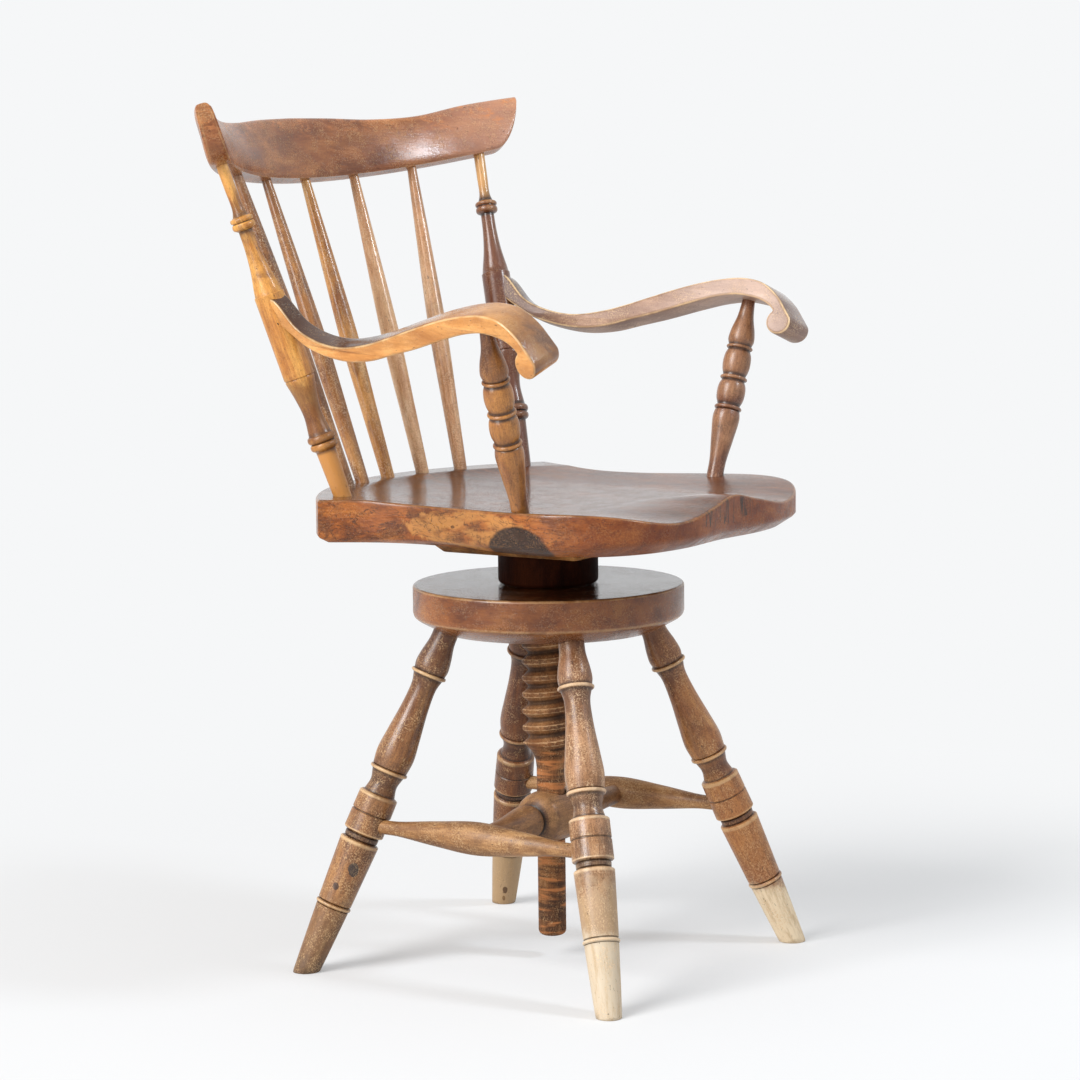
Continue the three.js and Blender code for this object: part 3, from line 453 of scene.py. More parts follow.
class Shading:
    """The node tree of a material or a world, with short calls for the nodes that the looks use. A wood's tree
    also holds its grain, and the colour and roughness that its layers have made so far."""

    def __init__(self, owner, shader="Principled BSDF"):
        owner.use_nodes = True
        self.owner = owner
        self.tree = owner.node_tree
        self.shader = self.tree.nodes[shader]

    def set(self, socket, value):
        if isinstance(value, bpy.types.NodeSocket):
            self.tree.links.new(value, socket)
        else:
            socket.default_value = linear(value) if isinstance(value, str) else value

    def put(self, node, **values):
        """Sets a node's inputs, whose names are written with underscores."""
        for key, value in values.items():
            self.set(node.inputs[key.replace("_", " ").title()], value)

    def node(self, kind, *values, **settings):
        made = self.tree.nodes.new("ShaderNode" + kind)
        for key, value in settings.items():
            setattr(made, key, value)
        for socket, value in zip(made.inputs, values):
            self.set(socket, value)
        return made

    def end(self, share, seen):
        """Shows another shader's node over the tree's own shader, by a share."""
        mixed = self.node("MixShader", share, self.shader.outputs[0], seen.outputs[0])
        output = next(node for node in self.tree.nodes if "Output" in node.name)
        self.tree.links.new(mixed.outputs[0], output.inputs[0])

    def math(self, operation, *values):
        """An operation over some values in turn. A tuple holds a value and how it is spread."""
        result, *others = (self.spread(*value) if isinstance(value, tuple) else value for value in values)
        for value in others:
            result = self.node("Math", result, value, operation=operation).outputs[0]
        return result

    def times(self, *factors):
        return self.math("MULTIPLY", *factors)

    def plus(self, *terms):
        return self.math("ADD", *terms)

    def vector(self, operation, *values):
        return self.node("VectorMath", *values, operation=operation).outputs

    def place(self):
        """The rest place of a point in the row frame."""
        return self.node("TexCoord").outputs["Object"]

    def axis(self, axis):
        return self.node("SeparateXYZ", self.place()).outputs[axis]

    def stored(self, name, output="Fac"):
        return self.node("Attribute", attribute_name=name).outputs[output]

    def noise(self, scale, detail=4, roughness=0.55, distortion=0, across=1, along=1, place=None):
        """Noise over the grain or a place, whose X and Y, and whose Z, are scaled first."""
        made = self.node("TexNoise")
        vector = self.vector("MULTIPLY", self.grain if place is None else place, (across, across, along))[0]
        self.put(made, vector=vector, scale=scale, detail=detail, roughness=roughness, distortion=distortion)
        return made.outputs[0]

    def off_middle(self, noise):
        return self.math("SUBTRACT", noise, 0.5)

    def spread(self, value, low, high, to_low=0, to_high=1):
        return self.node("MapRange", value, low, high, to_low, to_high, interpolation_type="SMOOTHSTEP").outputs[0]

    def lines(self, noise, low, high, share):
        """Thin lines, where a noise passes its middle."""
        distance = self.node("Math", self.off_middle(noise), operation="ABSOLUTE").outputs[0]
        return self.spread(distance, low, high, share, 0)

    def mix(self, factor, first, second):
        made = self.node("Mix", factor, data_type="RGBA")
        self.set(made.inputs[6], first)
        self.set(made.inputs[7], second)
        return made.outputs[2]

    def lay(self, tone, *shares):
        """Lays a tone over the colour so far, by the product of its shares."""
        self.colour = self.mix(self.times(*shares), self.colour, tone)

    def ramp(self, factor, stops):
        made = self.node("ValToRGB", factor)
        elements = made.color_ramp.elements
        while len(elements) < len(stops):
            elements.new(0.5)
        for element, (place, tone) in zip(elements, stops):
            element.position = place
            element.color = linear(tone)
        return made.outputs[0]

    def bump(self, height, depth, strength=1):
        made = self.node("Bump")
        self.put(made, strength=strength, distance=depth, height=height)
        self.put(self.shader, normal=made.outputs[0])


WOOD_BUMP = (0.0004, 0.8)  # depth and strength


def wood(name, tones, *paints, patch_share=0.5, glow_share=0.4, worn_share=0.4, grime_and_shade="1a0c05", grime_and_shade_share=0.85,
         speck_share=0.3, gloss=(0.28, 0.46), coat=0.2, shine=0.4):
    """A stained and worn wood. Its six tones are the darkest streak, the ground, the lightest streak, a dark and a
    bright stain in broad patches, the dark one also laid as painted shade in broad hollows and the bright one as
    painted light on swellings, and the worn wood of ridges and specks. Grime and painted shade lie in grooves."""
    s = Shading(bpy.data.materials.new(f"{name} wood"))
    dark, ground, light, patch, glow, worn = tones.split()
    s.grain, relief, bulge = s.stored("grain", "Vector"), s.stored("relief"), s.stored("bulge")
    figure = s.noise(40, 5, 0.6, 0.6, along=0.28)
    fibre = s.noise(420, 3, 0.6, along=0.1)
    pores = s.noise(900, 2, along=0.12)
    stain = s.noise(30, 5, 0.62, 0.5, along=0.6)
    warm = s.noise(17, 4, 0.6, 0.3, along=0.6)
    mottle = s.noise(640, 3, 0.75)
    nicks = s.noise(420, 2, 0.6, 0.4, along=0.45)
    rubbed = s.noise(45, 6, 0.66)
    filled = s.noise(90, 3, along=0.3)
    s.colour = s.ramp(figure, ((0.3, dark), (0.5, ground), (0.7, light)))
    s.lay(glow, (warm, 0.46, 0.62, 0, glow_share))
    s.lay(patch, (stain, 0.5, 0.62, 0, patch_share))
    # Broad swellings lightened and broad hollows darkened: partly wear and grime, partly painted light and painted
    # shade.
    s.lay(glow, (bulge, 0, 0.9, 0, 0.6), (relief, 0.05, 0.5, 1, 0))
    s.lay(patch, (bulge, -0.8, 0, 0.7, 0))
    s.lay(dark, (fibre, 0.4, 0.56, 0.2, 0))
    s.lay(light, (fibre, 0.52, 0.68, 0, 0.18))
    s.lay(patch, (pores, 0.36, 0.46, 0.25, 0))
    s.lay(patch, (mottle, 0.41, 0.47, speck_share, 0))
    s.rough = s.spread(warm, 0.38, 0.62, *gloss)
    for paint, *values in paints:
        paint(s, *values)
    scuffed = s.times((rubbed, 0.44, 0.58, 0.1, 1), (mottle, 0.52, 0.58))
    s.lay(worn, scuffed, speck_share)
    s.lay(worn, (nicks, 0.66, 0.7), (rubbed, 0.44, 0.54), min(1, speck_share * 1.3))
    s.lay(grime_and_shade, (nicks, 0.28, 0.33, 0.6, 0))
    s.lay(worn, (relief, 0.35, 0.8, 0, worn_share), (rubbed, 0.38, 0.56, 0.4, 1))
    # Grooves darkened by their low relief: partly grime, partly painted shade.
    s.lay(grime_and_shade, (relief, -0.7, -0.05, grime_and_shade_share, 0), (filled, 0.3, 0.5, 0.6, 1))
    height = s.plus(s.times(fibre, 0.5), s.times(pores, 0.4), s.times(rubbed, 0.9))
    s.bump(s.math("SUBTRACT", height, s.times(scuffed, 0.4)), *WOOD_BUMP)
    s.put(s.shader, base_color=s.colour, roughness=s.plus(s.rough, s.times(scuffed, 0.2)), coat_weight=coat,
          coat_roughness=0.18)
    s.set(s.shader.inputs["Specular IOR Level"], shine)
    return s.owner


# Paints. Each changes the colour or the roughness of a wood's tree.
def bleached(s, low, high, ragged=0.05, tone="e6d2b2", share=0.92):
    """Bare, pale wood below a height, with a ragged edge and darker streaks."""
    edge = s.times(s.off_middle(s.noise(70, 7, 0.72)), 2 * ragged)
    bare = s.spread(s.plus(s.axis(Z), edge), low, high, share, 0)
    streaks = s.noise(130, 6, 0.72, along=0.16)
    s.lay(s.mix(s.spread(streaks, 0.46, 0.66, 0, 0.55), tone, "a8895f"), bare)
    s.rough = s.math("MAXIMUM", s.rough, s.times(bare, 0.75))


def tinted(s, axis, low, high, tone, low_share, high_share):
    """A tone laid over the wood, whose share changes along one axis of the row frame."""
    ragged = s.times(s.off_middle(s.noise(60, 5, 0.65)), 0.04)
    s.lay(tone, (s.plus(s.axis(axis), ragged), low, high, low_share, high_share))


def glossy_top(s, tone, gloss):
    """The upper face is darker and glossier than the edge, with dark streaks."""
    top = s.stored("mask")
    cloud = s.noise(11, 5, 0.62, 0.4)
    streak = s.noise(130, 5, 0.66, 0.3, along=0.07)
    s.lay(tone, top, (cloud, 0.35, 0.65, 0.85, 0.595))
    s.lay("1c0d07", top, (streak, 0.36, 0.52, 0.55, 0))
    rough = s.plus((cloud, 0.4, 0.7, gloss * 0.8, gloss * 1.5), (streak, 0.34, 0.6, -0.07, 0.07))
    s.rough = s.node("Mix", top, s.rough, rough).outputs[0]


def darker_top(s, tone, scroll_tone, gloss):
    """Arms kept dark on top towards the posts, worn in the middle, and brown again round the scrolls."""
    top, y = s.stored("mask"), s.axis(Y)
    cloud = s.spread(s.noise(30, 5, 0.65, 0.4), 0.36, 0.6, 1, 0.6)
    s.lay(tone, top, s.math("MAXIMUM", s.times((y, -0.08, 0.05, 0.25, 0.9), cloud), (y, 0, 0.06)))
    s.lay(scroll_tone, top, s.times((y, -0.155, -0.105, 0.95, 0), cloud))
    s.rough = s.node("Mix", top, s.rough, gloss).outputs[0]


def patch_at(s, centre, radii, rag):
    """1 inside a ragged oval round a place of the row frame."""
    offset = s.vector("MULTIPLY", s.vector("SUBTRACT", s.place(), centre)[0], [1 / radius for radius in radii])[0]
    distance = s.plus(s.vector("LENGTH", offset)[1], s.times(s.noise(130, 4, 0.6, place=s.place()), rag))
    return s.spread(distance, 0.9 + rag / 2, 1.02 + rag / 2, 1, 0)


def marked(s, *marks):
    """Small dark stains, each a tone, its place in the row frame and its radii."""
    for tone, centre, radii in marks:
        s.lay(tone, patch_at(s, centre, radii, 0.5), 0.9)


# Marks on the seat's edge: place, radii and raggedness
PALE_STRETCH = ((-0.2, -0.03, 0.487), (0.04, 0.09, 0.022), 0.6)
KNOT = ((-0.209, -0.097, 0.467), (0.06, 0.041, 0.03), 0.1)
CRACKED = ((-0.03, -0.235, 0.5), (0.075, 0.03, 0.014), 0.6)


def seat_marks(s):
    """A pale stretch, dark veins, a browner front that is painted shade on the side turned from the light, a
    half-round knot and a cracked front on the seat's edge.
    """
    edge = s.math("SUBTRACT", 1, s.stored("mask"))
    pale = s.noise(70, 4, 0.6, along=0.4)
    veins = s.noise(26, 5, 0.6, 1.4, along=2, place=s.place())
    rings = s.noise(260, 4, 0.6, 0.8, along=2.2, place=s.place())
    cracks = s.noise(75, 2, 0.5, along=0.1, place=s.place())
    s.lay("b47c40", patch_at(s, *PALE_STRETCH), edge, (pale, 0.4, 0.62, 0.7, 0.1))
    s.lay("2a1208", s.lines(veins, 0.004, 0.016, 0.75), edge)
    # Painted shade: the edge is browned and darkened towards the front, which is turned from the light.
    s.lay("63290a", (s.axis(Y), -0.19, -0.1, 0.75, 0), edge, (pale, 0.4, 0.6, 1, 0.75))
    knot_tone = s.ramp(rings, ((0.38, "040101"), (0.55, "160704"), (0.72, "42261d")))
    s.lay(knot_tone, patch_at(s, *KNOT), 0.95, edge)
    s.lay("170b05", s.lines(cracks, 0.008, 0.026, 1), patch_at(s, *CRACKED), 0.85)


def burnt_bands(s):
    """Dark scorched bands round the screw's plain shank."""
    x, y, z = s.axis(X), s.axis(Y), s.axis(Z)
    tilted = s.node("CombineXYZ", x, y, s.plus(z, s.times(x, 0.08))).outputs[0]
    bands = s.noise(210, 3, 0.5, 0.2, across=0.12, place=tilted)
    shank = s.spread(z, THREAD_END - NECK_LENGTH * 0.4, THREAD_END, 1, 0)
    s.lay("2b170c", shank, (bands, 0.38, 0.5, 0.65, 0))
    s.lay("b4713f", shank, (bands, 0.52, 0.66, 0, 0.7))


def end_scuffs(s):
    """A worn strip along the crest's top, fine pale scratches and a few dark dents."""
    flaked = s.noise(240, 5, 0.7, across=0.35, place=s.place())
    scratch = s.noise(160, 2, 0.5, 1.6, across=0.5, along=1.4, place=s.place())
    worn = s.noise(30, 3, place=s.place())
    s.lay("c87f4a", (s.axis(Z), 0.875, 0.9), (worn, 0.42, 0.58), (flaked, 0.47, 0.56, 0, 0.65))
    s.lay("dcb68c", s.lines(scratch, 0, 0.006, 1), (s.noise(26, 3, place=s.place()), 0.54, 0.64), 0.5)
    s.lay("2a150b", (s.noise(240, 2, 0.5, place=s.place()), 0.71, 0.76, 0, 0.6))


# Woods, with what some have in common
LEG = dict(worn_share=0.7, grime_and_shade_share=0.7)
GLAZED = dict(gloss=(0.2, 0.32), coat=0.5)
SUPPORT = dict(worn_share=0.2, grime_and_shade="2a140a", grime_and_shade_share=0.7, gloss=(0.22, 0.36), coat=0.35)
leg_woods = {
    ("right", "front"): wood(
        "front leg", "55361e 8e633e c1966e 46260f b88862 e0bf98", (tinted, Z, 0.25, 0.36, "5b2d1a", 0, 0.4),
        (bleached, 0.1, 0.17, 0.1, "a98d6e", 0.8), (bleached, 0.07, 0.09, 0.02, "c6b69e"), speck_share=0.5, **LEG),
    ("right", "rear"): wood(
        "brown leg", "542e15 865730 ae7d4c 3e1f0c a47242 d8b384", (tinted, Z, 0.25, 0.35, "43200f", 0, 0.75),
        (bleached, 0.055, 0.1, 0.05, "6e4f32", 0.6), (tinted, Z, 0, 0.03, "4a3a2a", 0.6, 0),
        (marked, ("2a2422", (-0.1694, 0.1405, 0.1117), (0.006, 0.006, 0.0085)),
         ("2c120a", (-0.1805, 0.1564, 0.0944), (0.0035, 0.0035, 0.004))), speck_share=0.5, **LEG),
    ("left", "front"): wood(
        "leg", "62341a 985f32 bd8850 4e260f b0743c d0a878", (tinted, Z, 0.25, 0.36, "43200f", 0, 0.5),
        (bleached, 0.055, 0.075, 0.025), speck_share=0.45, **LEG),
    # The rear leg's darker tones are painted shade: this leg stands in the chair's shadow.
    ("left", "rear"): wood(
        "rear leg", "3a1a09 633617 825027 2c1306 77451d d6ad7a", (bleached, 0.085, 0.115, 0.03, "a88c68", 0.85),
        (marked, ("4a2c0e", (0.1705, 0.1751, 0.0175), (0.003, 0.003, 0.008)),
         ("6a4a26", (0.1745, 0.1797, 0.006), (0.0018, 0.0018, 0.01))), grime_and_shade_share=0.7),
}
stretcher_wood = wood("stretcher", "60391c 9a6e42 c29768 52301a b08455 d9b78a", worn_share=0.15, grime_and_shade_share=0.6,
                      speck_share=0.4, gloss=(0.45, 0.65), coat=0.05)
# The cross stretcher's wood is darker than the side stretchers' partly as painted shade under the disc.
hub_wood = wood("hub", "4c2b15 7f5633 a57a50 3c2110 946a42 a8814f", worn_share=0.1, grime_and_shade_share=0.8,
                speck_share=0.35, gloss=(0.4, 0.6), coat=0.05)
# The tint along Y darkens the disc towards its front as painted shade on the side turned from the light.
disc_wood = wood("disc", "52230a 894c1e a5682f 471f0a aa6827 d6ad7a", (tinted, Y, -0.06, 0.12, "4a2512", 0.5, 0),
                 (glossy_top, "3a1c0e", 0.22), glow_share=0.3, speck_share=0.15, worn_share=0.35)
screw_wood = wood("screw", "3f2411 6e4526 94663c 331c0d 7a4826 cba478", (burnt_bands,), worn_share=0.75,
                  grime_and_shade="1d0f07", grime_and_shade_share=0.75, gloss=(0.55, 0.75), coat=0, shine=0.25)
collar_wood = wood("collar", "160602 2a0e05 401b0b 160602 46200e 4f2c12", speck_share=0.1, gloss=(0.6, 0.75),
                   coat=0, shine=0.06)
cleat_wood = wood("cleat", "4b2810 7d4c24 a87440 2d160a c98a4a d6ad7a")
seat_wood = wood("seat", "4a1c06 8e4c1a b87232 341406 ab6324 c08a50", (glossy_top, "4a281a", 0.3), (seat_marks,),
                 patch_share=0.65, speck_share=0.16, worn_share=0.3, coat=0.15, shine=0.35)
spindle_woods = [
    wood("first spindle", "5a3018 8c5a2e b8824c 4a2814 a8702f ecd0a8", patch_share=0.6, **GLAZED),
    wood("second spindle", "5e3218 935e30 c08a50 4e2a14 b87c3c ecd0a8", patch_share=0.6, **GLAZED),
    wood("third spindle", "7a4420 bd803c e0b070 6a3c20 dda05a ecd0a8", **GLAZED),
    # The fourth spindle's pale tones are partly a painted highlight.
    wood("fourth spindle", "b0784a dfae80 f6d8b4 a06c44 ecc08e ecd0a8", patch_share=0.2, **GLAZED),
    wood("fifth spindle", "84532f ca9466 ecc298 7c4e30 d6aa80 ecd0a8", patch_share=0.3, **GLAZED),
]
post_woods = {
    "right": wood(
        "near post", "7a4018 c07e36 eab464 5e2f12 edac52 b8803c", (tinted, Z, 0.615, 0.65, "5e3214", 0.75, 0),
        (tinted, Z, 0.555, 0.57, "cc8c44", 0.7, 0), patch_share=0.6, worn_share=0.2, grime_and_shade="3a1e0e",
        grime_and_shade_share=0.65, speck_share=0.25),
    "left": wood(
        "far post", "5a2f18 9a6236 c8935a 3b1c12 a8683a b98a5c", (tinted, Z, 0.79, 0.82, "5a3020", 0.8, 0),
        (tinted, Z, 0.8, 0.83, "cd9c60", 0, 0.85), worn_share=0.2, speck_share=0.25, gloss=(0.2, 0.32), coat=0.4),
}
arm_woods = {
    "right": wood(
        "near arm", "a0642c c98945 e2a765 ac6e36 e2aa64 f2cf98", (darker_top, "42230f", "644434", 0.35),
        patch_share=0.32, worn_share=0.5, speck_share=0.1),
    "left": wood(
        "far arm", "7e5a45 a07b62 bd9a80 6f4c38 b08a70 eccb9c", (tinted, Y, 0.09, 0.15, "4a2a20", 0, 0.75),
        # The pale pinkish-grey tint towards the far arm's front is a painted sheen.
        (tinted, Y, -0.08, 0, "d2b8aa", 0.35, 0), (tinted, Y, -0.16, -0.125, "6e4a38", 0.6, 0),
        (darker_top, "4a281c", "5e3c2e", 0.45), patch_share=0.4, worn_share=0.85, speck_share=0.35),
}
support_woods = {
    "right": wood("support", "4d2711 7c4824 ac7338 361909 c4843a b98248",
                  (tinted, Z, 0.63, 0.66, "42200f", 0, 0.5), **SUPPORT),
    "left": wood("far support", "4a2616 7a4c34 a87a5c 371b10 b8875c b98a62", patch_share=0.35, **SUPPORT),
}
# The pale pinkish tint towards the crest's end at +X is a painted sheen.
crest_wood = wood("crest", "6a3616 8c4f28 b07240 5e2e14 b87a48 d6ad7a", (tinted, X, 0.14, 0.26, "cfa089", 0, 0.4),
                  (end_scuffs,), patch_share=0.45, gloss=(0.17, 0.27))


def iron_material():
    s = Shading(bpy.data.materials.new("dark iron"))
    rust = s.noise(380, 5, 0.7, place=s.place())
    s.put(s.shader, base_color=s.mix(s.spread(rust, 0.45, 0.65), "3d3936", "5c3d28"), metallic=0.85,
          roughness=s.spread(rust, 0.3, 0.7, 0.4, 0.75))
    s.bump(rust, 0.0003)
    return s.owner


iron = iron_material()


# Turned pieces
def turned_piece(name, rows, radius, start, end, material, body="seat", before=FOOT_DEPTH, after=SOCKET_DEPTH,
                 inset=0, sides=TURNED_SIDES):
    """A piece turned along the line from start to end, whose outline leaves an inset free at each end. It then
    runs on by before and after, into the pieces that hold it."""
    start, end = Vector(start), Vector(end)
    outline = outline_of(rows, (end - start).length - 2 * inset, radius) + (inset, 0)
    (low, first), (high, last) = outline[0], outline[-1]
    outline = np.vstack([(low - before, first), outline, *([(high + after, last)] if after else [])])
    local = turned_points(outline, sides)
    relief, bulge = (np.repeat(relief_of(outline, *sizes), sides) for sizes in (GROOVES, SWELLINGS))
    return add_piece(name, moved(local, placed(start, end)), capped_faces(len(outline), sides), body, material,
                     [name], grain=local, relief=relief, bulge=bulge)


for (hand, end), material in leg_woods.items():
    side, reach = dict(HANDS)[hand], -1 if end == "front" else 1
    start = Vector((side * LEG_TOP_OFFSET, reach * LEG_TOP_OFFSET, DISC_LOW.z))
    foot = Vector((side * LEG_FOOT_OFFSET, reach * LEG_FOOT_OFFSET, 0))
    leg = turned_piece(f"leg_{end}_{hand}", LEG_ROWS, LEG_RADIUS, start, foot, material, "base", LEG_IN_DISC, 0)
    axis = (foot - start).normalized()
    for vertex in leg.data.vertices:  # the outline runs on past the floor, and is drawn back along the axis to it
        if vertex.co.z < 0:
            vertex.co -= axis * (vertex.co.z / axis.z)

rail_offset = LEG_TOP_OFFSET + (LEG_FOOT_OFFSET - LEG_TOP_OFFSET) * (DISC_LOW.z - STRETCHER_HEIGHT) / DISC_LOW.z
for hand, side in HANDS:
    turned_piece(
        f"side_stretcher_{hand}", SIDE_STRETCHER_ROWS, SIDE_STRETCHER_RADIUS,
        *((side * rail_offset, end * rail_offset, STRETCHER_HEIGHT) for end in (-1, 1)), stretcher_wood, "base",
        SOCKET_DEPTH, inset=LEG_RADIUS)


def bore(obj, radius, low, high, along):
    """Bores a hole along the screw's axis, and writes the piece's grain again from its own frame."""
    cutter = mesh_object("bore", turned_points(((low, radius), (high, radius))), capped_faces(2, TURNED_SIDES))
    hole = obj.modifiers.new("bore", "BOOLEAN")
    hole.operation = "DIFFERENCE"
    hole.solver = "EXACT"
    hole.object = cutter
    done = bpy.data.meshes.new_from_object(obj.evaluated_get(bpy.context.evaluated_depsgraph_get()))
    obj.modifiers.clear()
    obj.data = done
    bpy.data.objects.remove(cutter)
    inward = along.inverted()
    for vertex, stored in zip(done.vertices, done.attributes["grain"].data):
        stored.vector = inward @ vertex.co
    done.set_sharp_from_angle(angle=SHARP_ANGLE)


cross_ends = [(side * rail_offset, 0, STRETCHER_HEIGHT) for side in (-1, 1)]
cross = turned_piece("cross_stretcher", CROSS_STRETCHER_ROWS, CROSS_STRETCHER_RADIUS, *cross_ends, hub_wood,
                     "base", SOCKET_DEPTH, inset=SIDE_STRETCHER_RADIUS)
bore(cross, SHANK_RADIUS + HUB_PLAY, STRETCHER_HEIGHT - 2 * CROSS_STRETCHER_RADIUS,
     STRETCHER_HEIGHT + 2 * CROSS_STRETCHER_RADIUS, placed(*cross_ends))


# Screw and the disc that it turns in
def thread_depth(angle, height):
    turn = np.mod((height - THREAD_PHASE) / PITCH - angle / (2 * pi), 1)
    return np.interp(np.abs(turn - 0.5), *np.array(FLANK_SHARES).T)


def screw_surface(heights):
    """Points of the screw and their relief: tip, shank, neck, thread and head."""
    angles = even_angles(SCREW_SIDES)
    neck = spline(NECK_SHARES).T
    steepness, root_relief = THREAD_RELIEF
    points, relief = [], []
    for z in heights:
        depth = np.zeros(SCREW_SIDES)
        if z > DISC_HIGH.z:
            radius = HEAD_RADIUS
        elif z < THREAD_END - NECK_LENGTH:
            above = min(z - SCREW_TIP, TIP_ROUND)
            radius = SHANK_RADIUS - TIP_ROUND + sqrt(TIP_ROUND**2 - (TIP_ROUND - above) ** 2)
        else:
            share = np.interp((z - THREAD_END + NECK_LENGTH) / NECK_LENGTH, *neck)
            envelope = SHANK_RADIUS + share * (CREST_RADIUS - SHANK_RADIUS)
            depth = thread_depth(angles, z)
            thread = ROOT_RADIUS + (CREST_RADIUS - ROOT_RADIUS) * depth
            radius = np.minimum(thread, envelope)
            depth = np.where(thread < envelope, steepness * depth + root_relief, 0)
        points.append(ring_of(radius, z, angles))
        relief.append(depth)
    return np.vstack(points), np.concatenate(relief)


screw_heights = np.concatenate([
    SCREW_TIP + TIP_ROUND * (1 - np.cos(np.linspace(0, pi / 2, ROUND_STEPS))),
    np.arange(SCREW_TIP + TIP_ROUND + SHANK_STEP, THREAD_END - NECK_LENGTH, SHANK_STEP),
    np.arange(THREAD_END - NECK_LENGTH, DISC_HIGH.z, THREAD_STEP),
    [DISC_HIGH.z + THREAD_STEP / 3, SEAT_BOTTOM],
])
points, relief = screw_surface(screw_heights)
add_piece("screw", points, capped_faces(len(screw_heights), SCREW_SIDES), "seat", screw_wood, ["screw"],
          relief=relief, sharp=SHARP_THREAD_ANGLE)


def rim_arc(radius, height, rounding):
    """The rounded upper rim of a turned piece, from its side to its top."""
    return [(height - rounding + rounding * sin(a), radius - rounding + rounding * cos(a))
            for a in np.linspace(0, pi / 2, RIM_STEPS)]


side_low = DISC_HIGH.z - DISC_SIDE
disc_outline = np.vstack([
    np.array(DISC_FOOT_EDGE) + (DISC_LOW.z, DISC_FOOT_RADIUS),
    spline(np.array(DISC_SIDE_EDGE) + (side_low, DISC_RADIUS)),
    [(height, DISC_RADIUS) for height in np.linspace(
        side_low + DISC_SIDE_FREE[0], DISC_HIGH.z - DISC_ROUND - DISC_SIDE_FREE[1], DISC_SIDE_ROWS)],
    rim_arc(DISC_RADIUS, DISC_HIGH.z, DISC_ROUND),
    [(DISC_HIGH.z, radius)
     for radius in np.linspace(DISC_RADIUS - DISC_ROUND - DISC_TOP_FREE, DISC_TOP_INNER, DISC_TOP_ROWS)],
])
disc_angles = even_angles(DISC_SIDES)
bore_rows = []
for z in np.linspace(DISC_HIGH.z, DISC_LOW.z, BORE_ROWS):
    radius = ROOT_RADIUS + THREAD_PLAY + (CREST_RADIUS - ROOT_RADIUS) * thread_depth(disc_angles, z)
    bore_rows.append(ring_of(radius, z, disc_angles))
points = np.vstack([turned_points(disc_outline, DISC_SIDES), *bore_rows])
heights, radii = disc_outline.T
under, down, inward = DISC_WEAR
rim = np.exp(-(((heights - DISC_HIGH.z + under) / down) ** 2) - ((radii - DISC_RADIUS) / inward) ** 2)
low_rim = DISC_LOW_WEAR[0] * np.exp(-(((heights - side_low) / DISC_LOW_WEAR[1]) ** 2))
relief, top = (
    np.concatenate([np.repeat(values, DISC_SIDES), np.zeros(BORE_ROWS * DISC_SIDES)])
    for values in (np.maximum(rim, low_rim), smoothstep(heights, DISC_HIGH.z - under, DISC_HIGH.z)))
add_piece("base_disc", points, ring_faces(len(disc_outline) + BORE_ROWS, DISC_SIDES, joined=True), "base",
          disc_wood, ["base_disc"], grain=points[:, (X, Z, Y)], relief=relief, mask=top)

# Collar and cleat
collar_low, collar_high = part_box("collar")
collar_rim = rim_arc(collar_high.x, collar_high.z, COLLAR_ROUND)
collar_outline = [
    (collar_low.z, BORE_RADIUS), *[(collar_low.z + collar_high.z - z, r) for z, r in reversed(collar_rim)],
    *collar_rim, (collar_high.z, BORE_RADIUS)]
add_piece("collar", turned_points(collar_outline, DISC_SIDES),
          ring_faces(len(collar_outline), DISC_SIDES, joined=True), "collar", collar_wood, ["collar"])

cleat_low, cleat_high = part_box("seat_cleat")


def cleat_row(inset, height):
    """The board's outline with rounded corners, drawn in by an inset."""
    points = []
    for i, (sx, sy) in enumerate(((1, 1), (-1, 1), (-1, -1), (1, -1))):
        edge_y = cleat_high.y if sy > 0 else cleat_low.y
        for angle in (i + np.linspace(0, 1, CORNER_STEPS)) * pi / 2:
            points.append((
                sx * (cleat_high.x - inset - CLEAT_CORNER) + CLEAT_CORNER * cos(angle),
                edge_y - sy * (inset + CLEAT_CORNER) + CLEAT_CORNER * sin(angle), height))
    return points


cleat_rows = [cleat_row(share * CLEAT_BEVEL, (cleat_high if rise < 0 else cleat_low).z + rise)
              for share, rise, _ in CLEAT_ROWS] + [cleat_row(0, cleat_high.z)]
points = np.vstack(cleat_rows)
add_piece("seat_cleat", points, capped_faces(len(cleat_rows), len(cleat_rows[0])), "seat", cleat_wood,
          ["seat_cleat"], grain=points[:, (Y, Z, X)],
          relief=np.repeat([row[2] for row in CLEAT_ROWS] + [0], len(cleat_rows[0])))


# Seat
def seat_edge():
    half = [Vector((across * SEAT_HALF_WIDTH, along * (SEAT_BACK if along > 0 else SEAT_FRONT), 0))
            for across, along in SEAT_EDGE_SHARES]
    whole = half + [mirrored(point, -1) for point in reversed(half[:-1])]
    corner = half[0]
    rise = SEAT_BACK - corner.y
    arc_radius = (corner.x**2 + rise**2) / (2 * rise)
    sweep = asin(corner.x / arc_radius)
    line = spline([tuple(p) for p in whole], SEAT_SPAN_STEPS)
    edge = [p[:2] for p in spaced(line, SEAT_SPOKES - SEAT_BACK_SPOKES + 1)]
    for i in range(1, SEAT_BACK_SPOKES):
        angle = -sweep + 2 * sweep * i / SEAT_BACK_SPOKES
        edge.append((arc_radius * sin(angle), SEAT_BACK - arc_radius * (1 - cos(angle))))
    return np.array(edge)


def bell(value, width):
    return 1 - smoothstep(np.abs(value), 0, width)


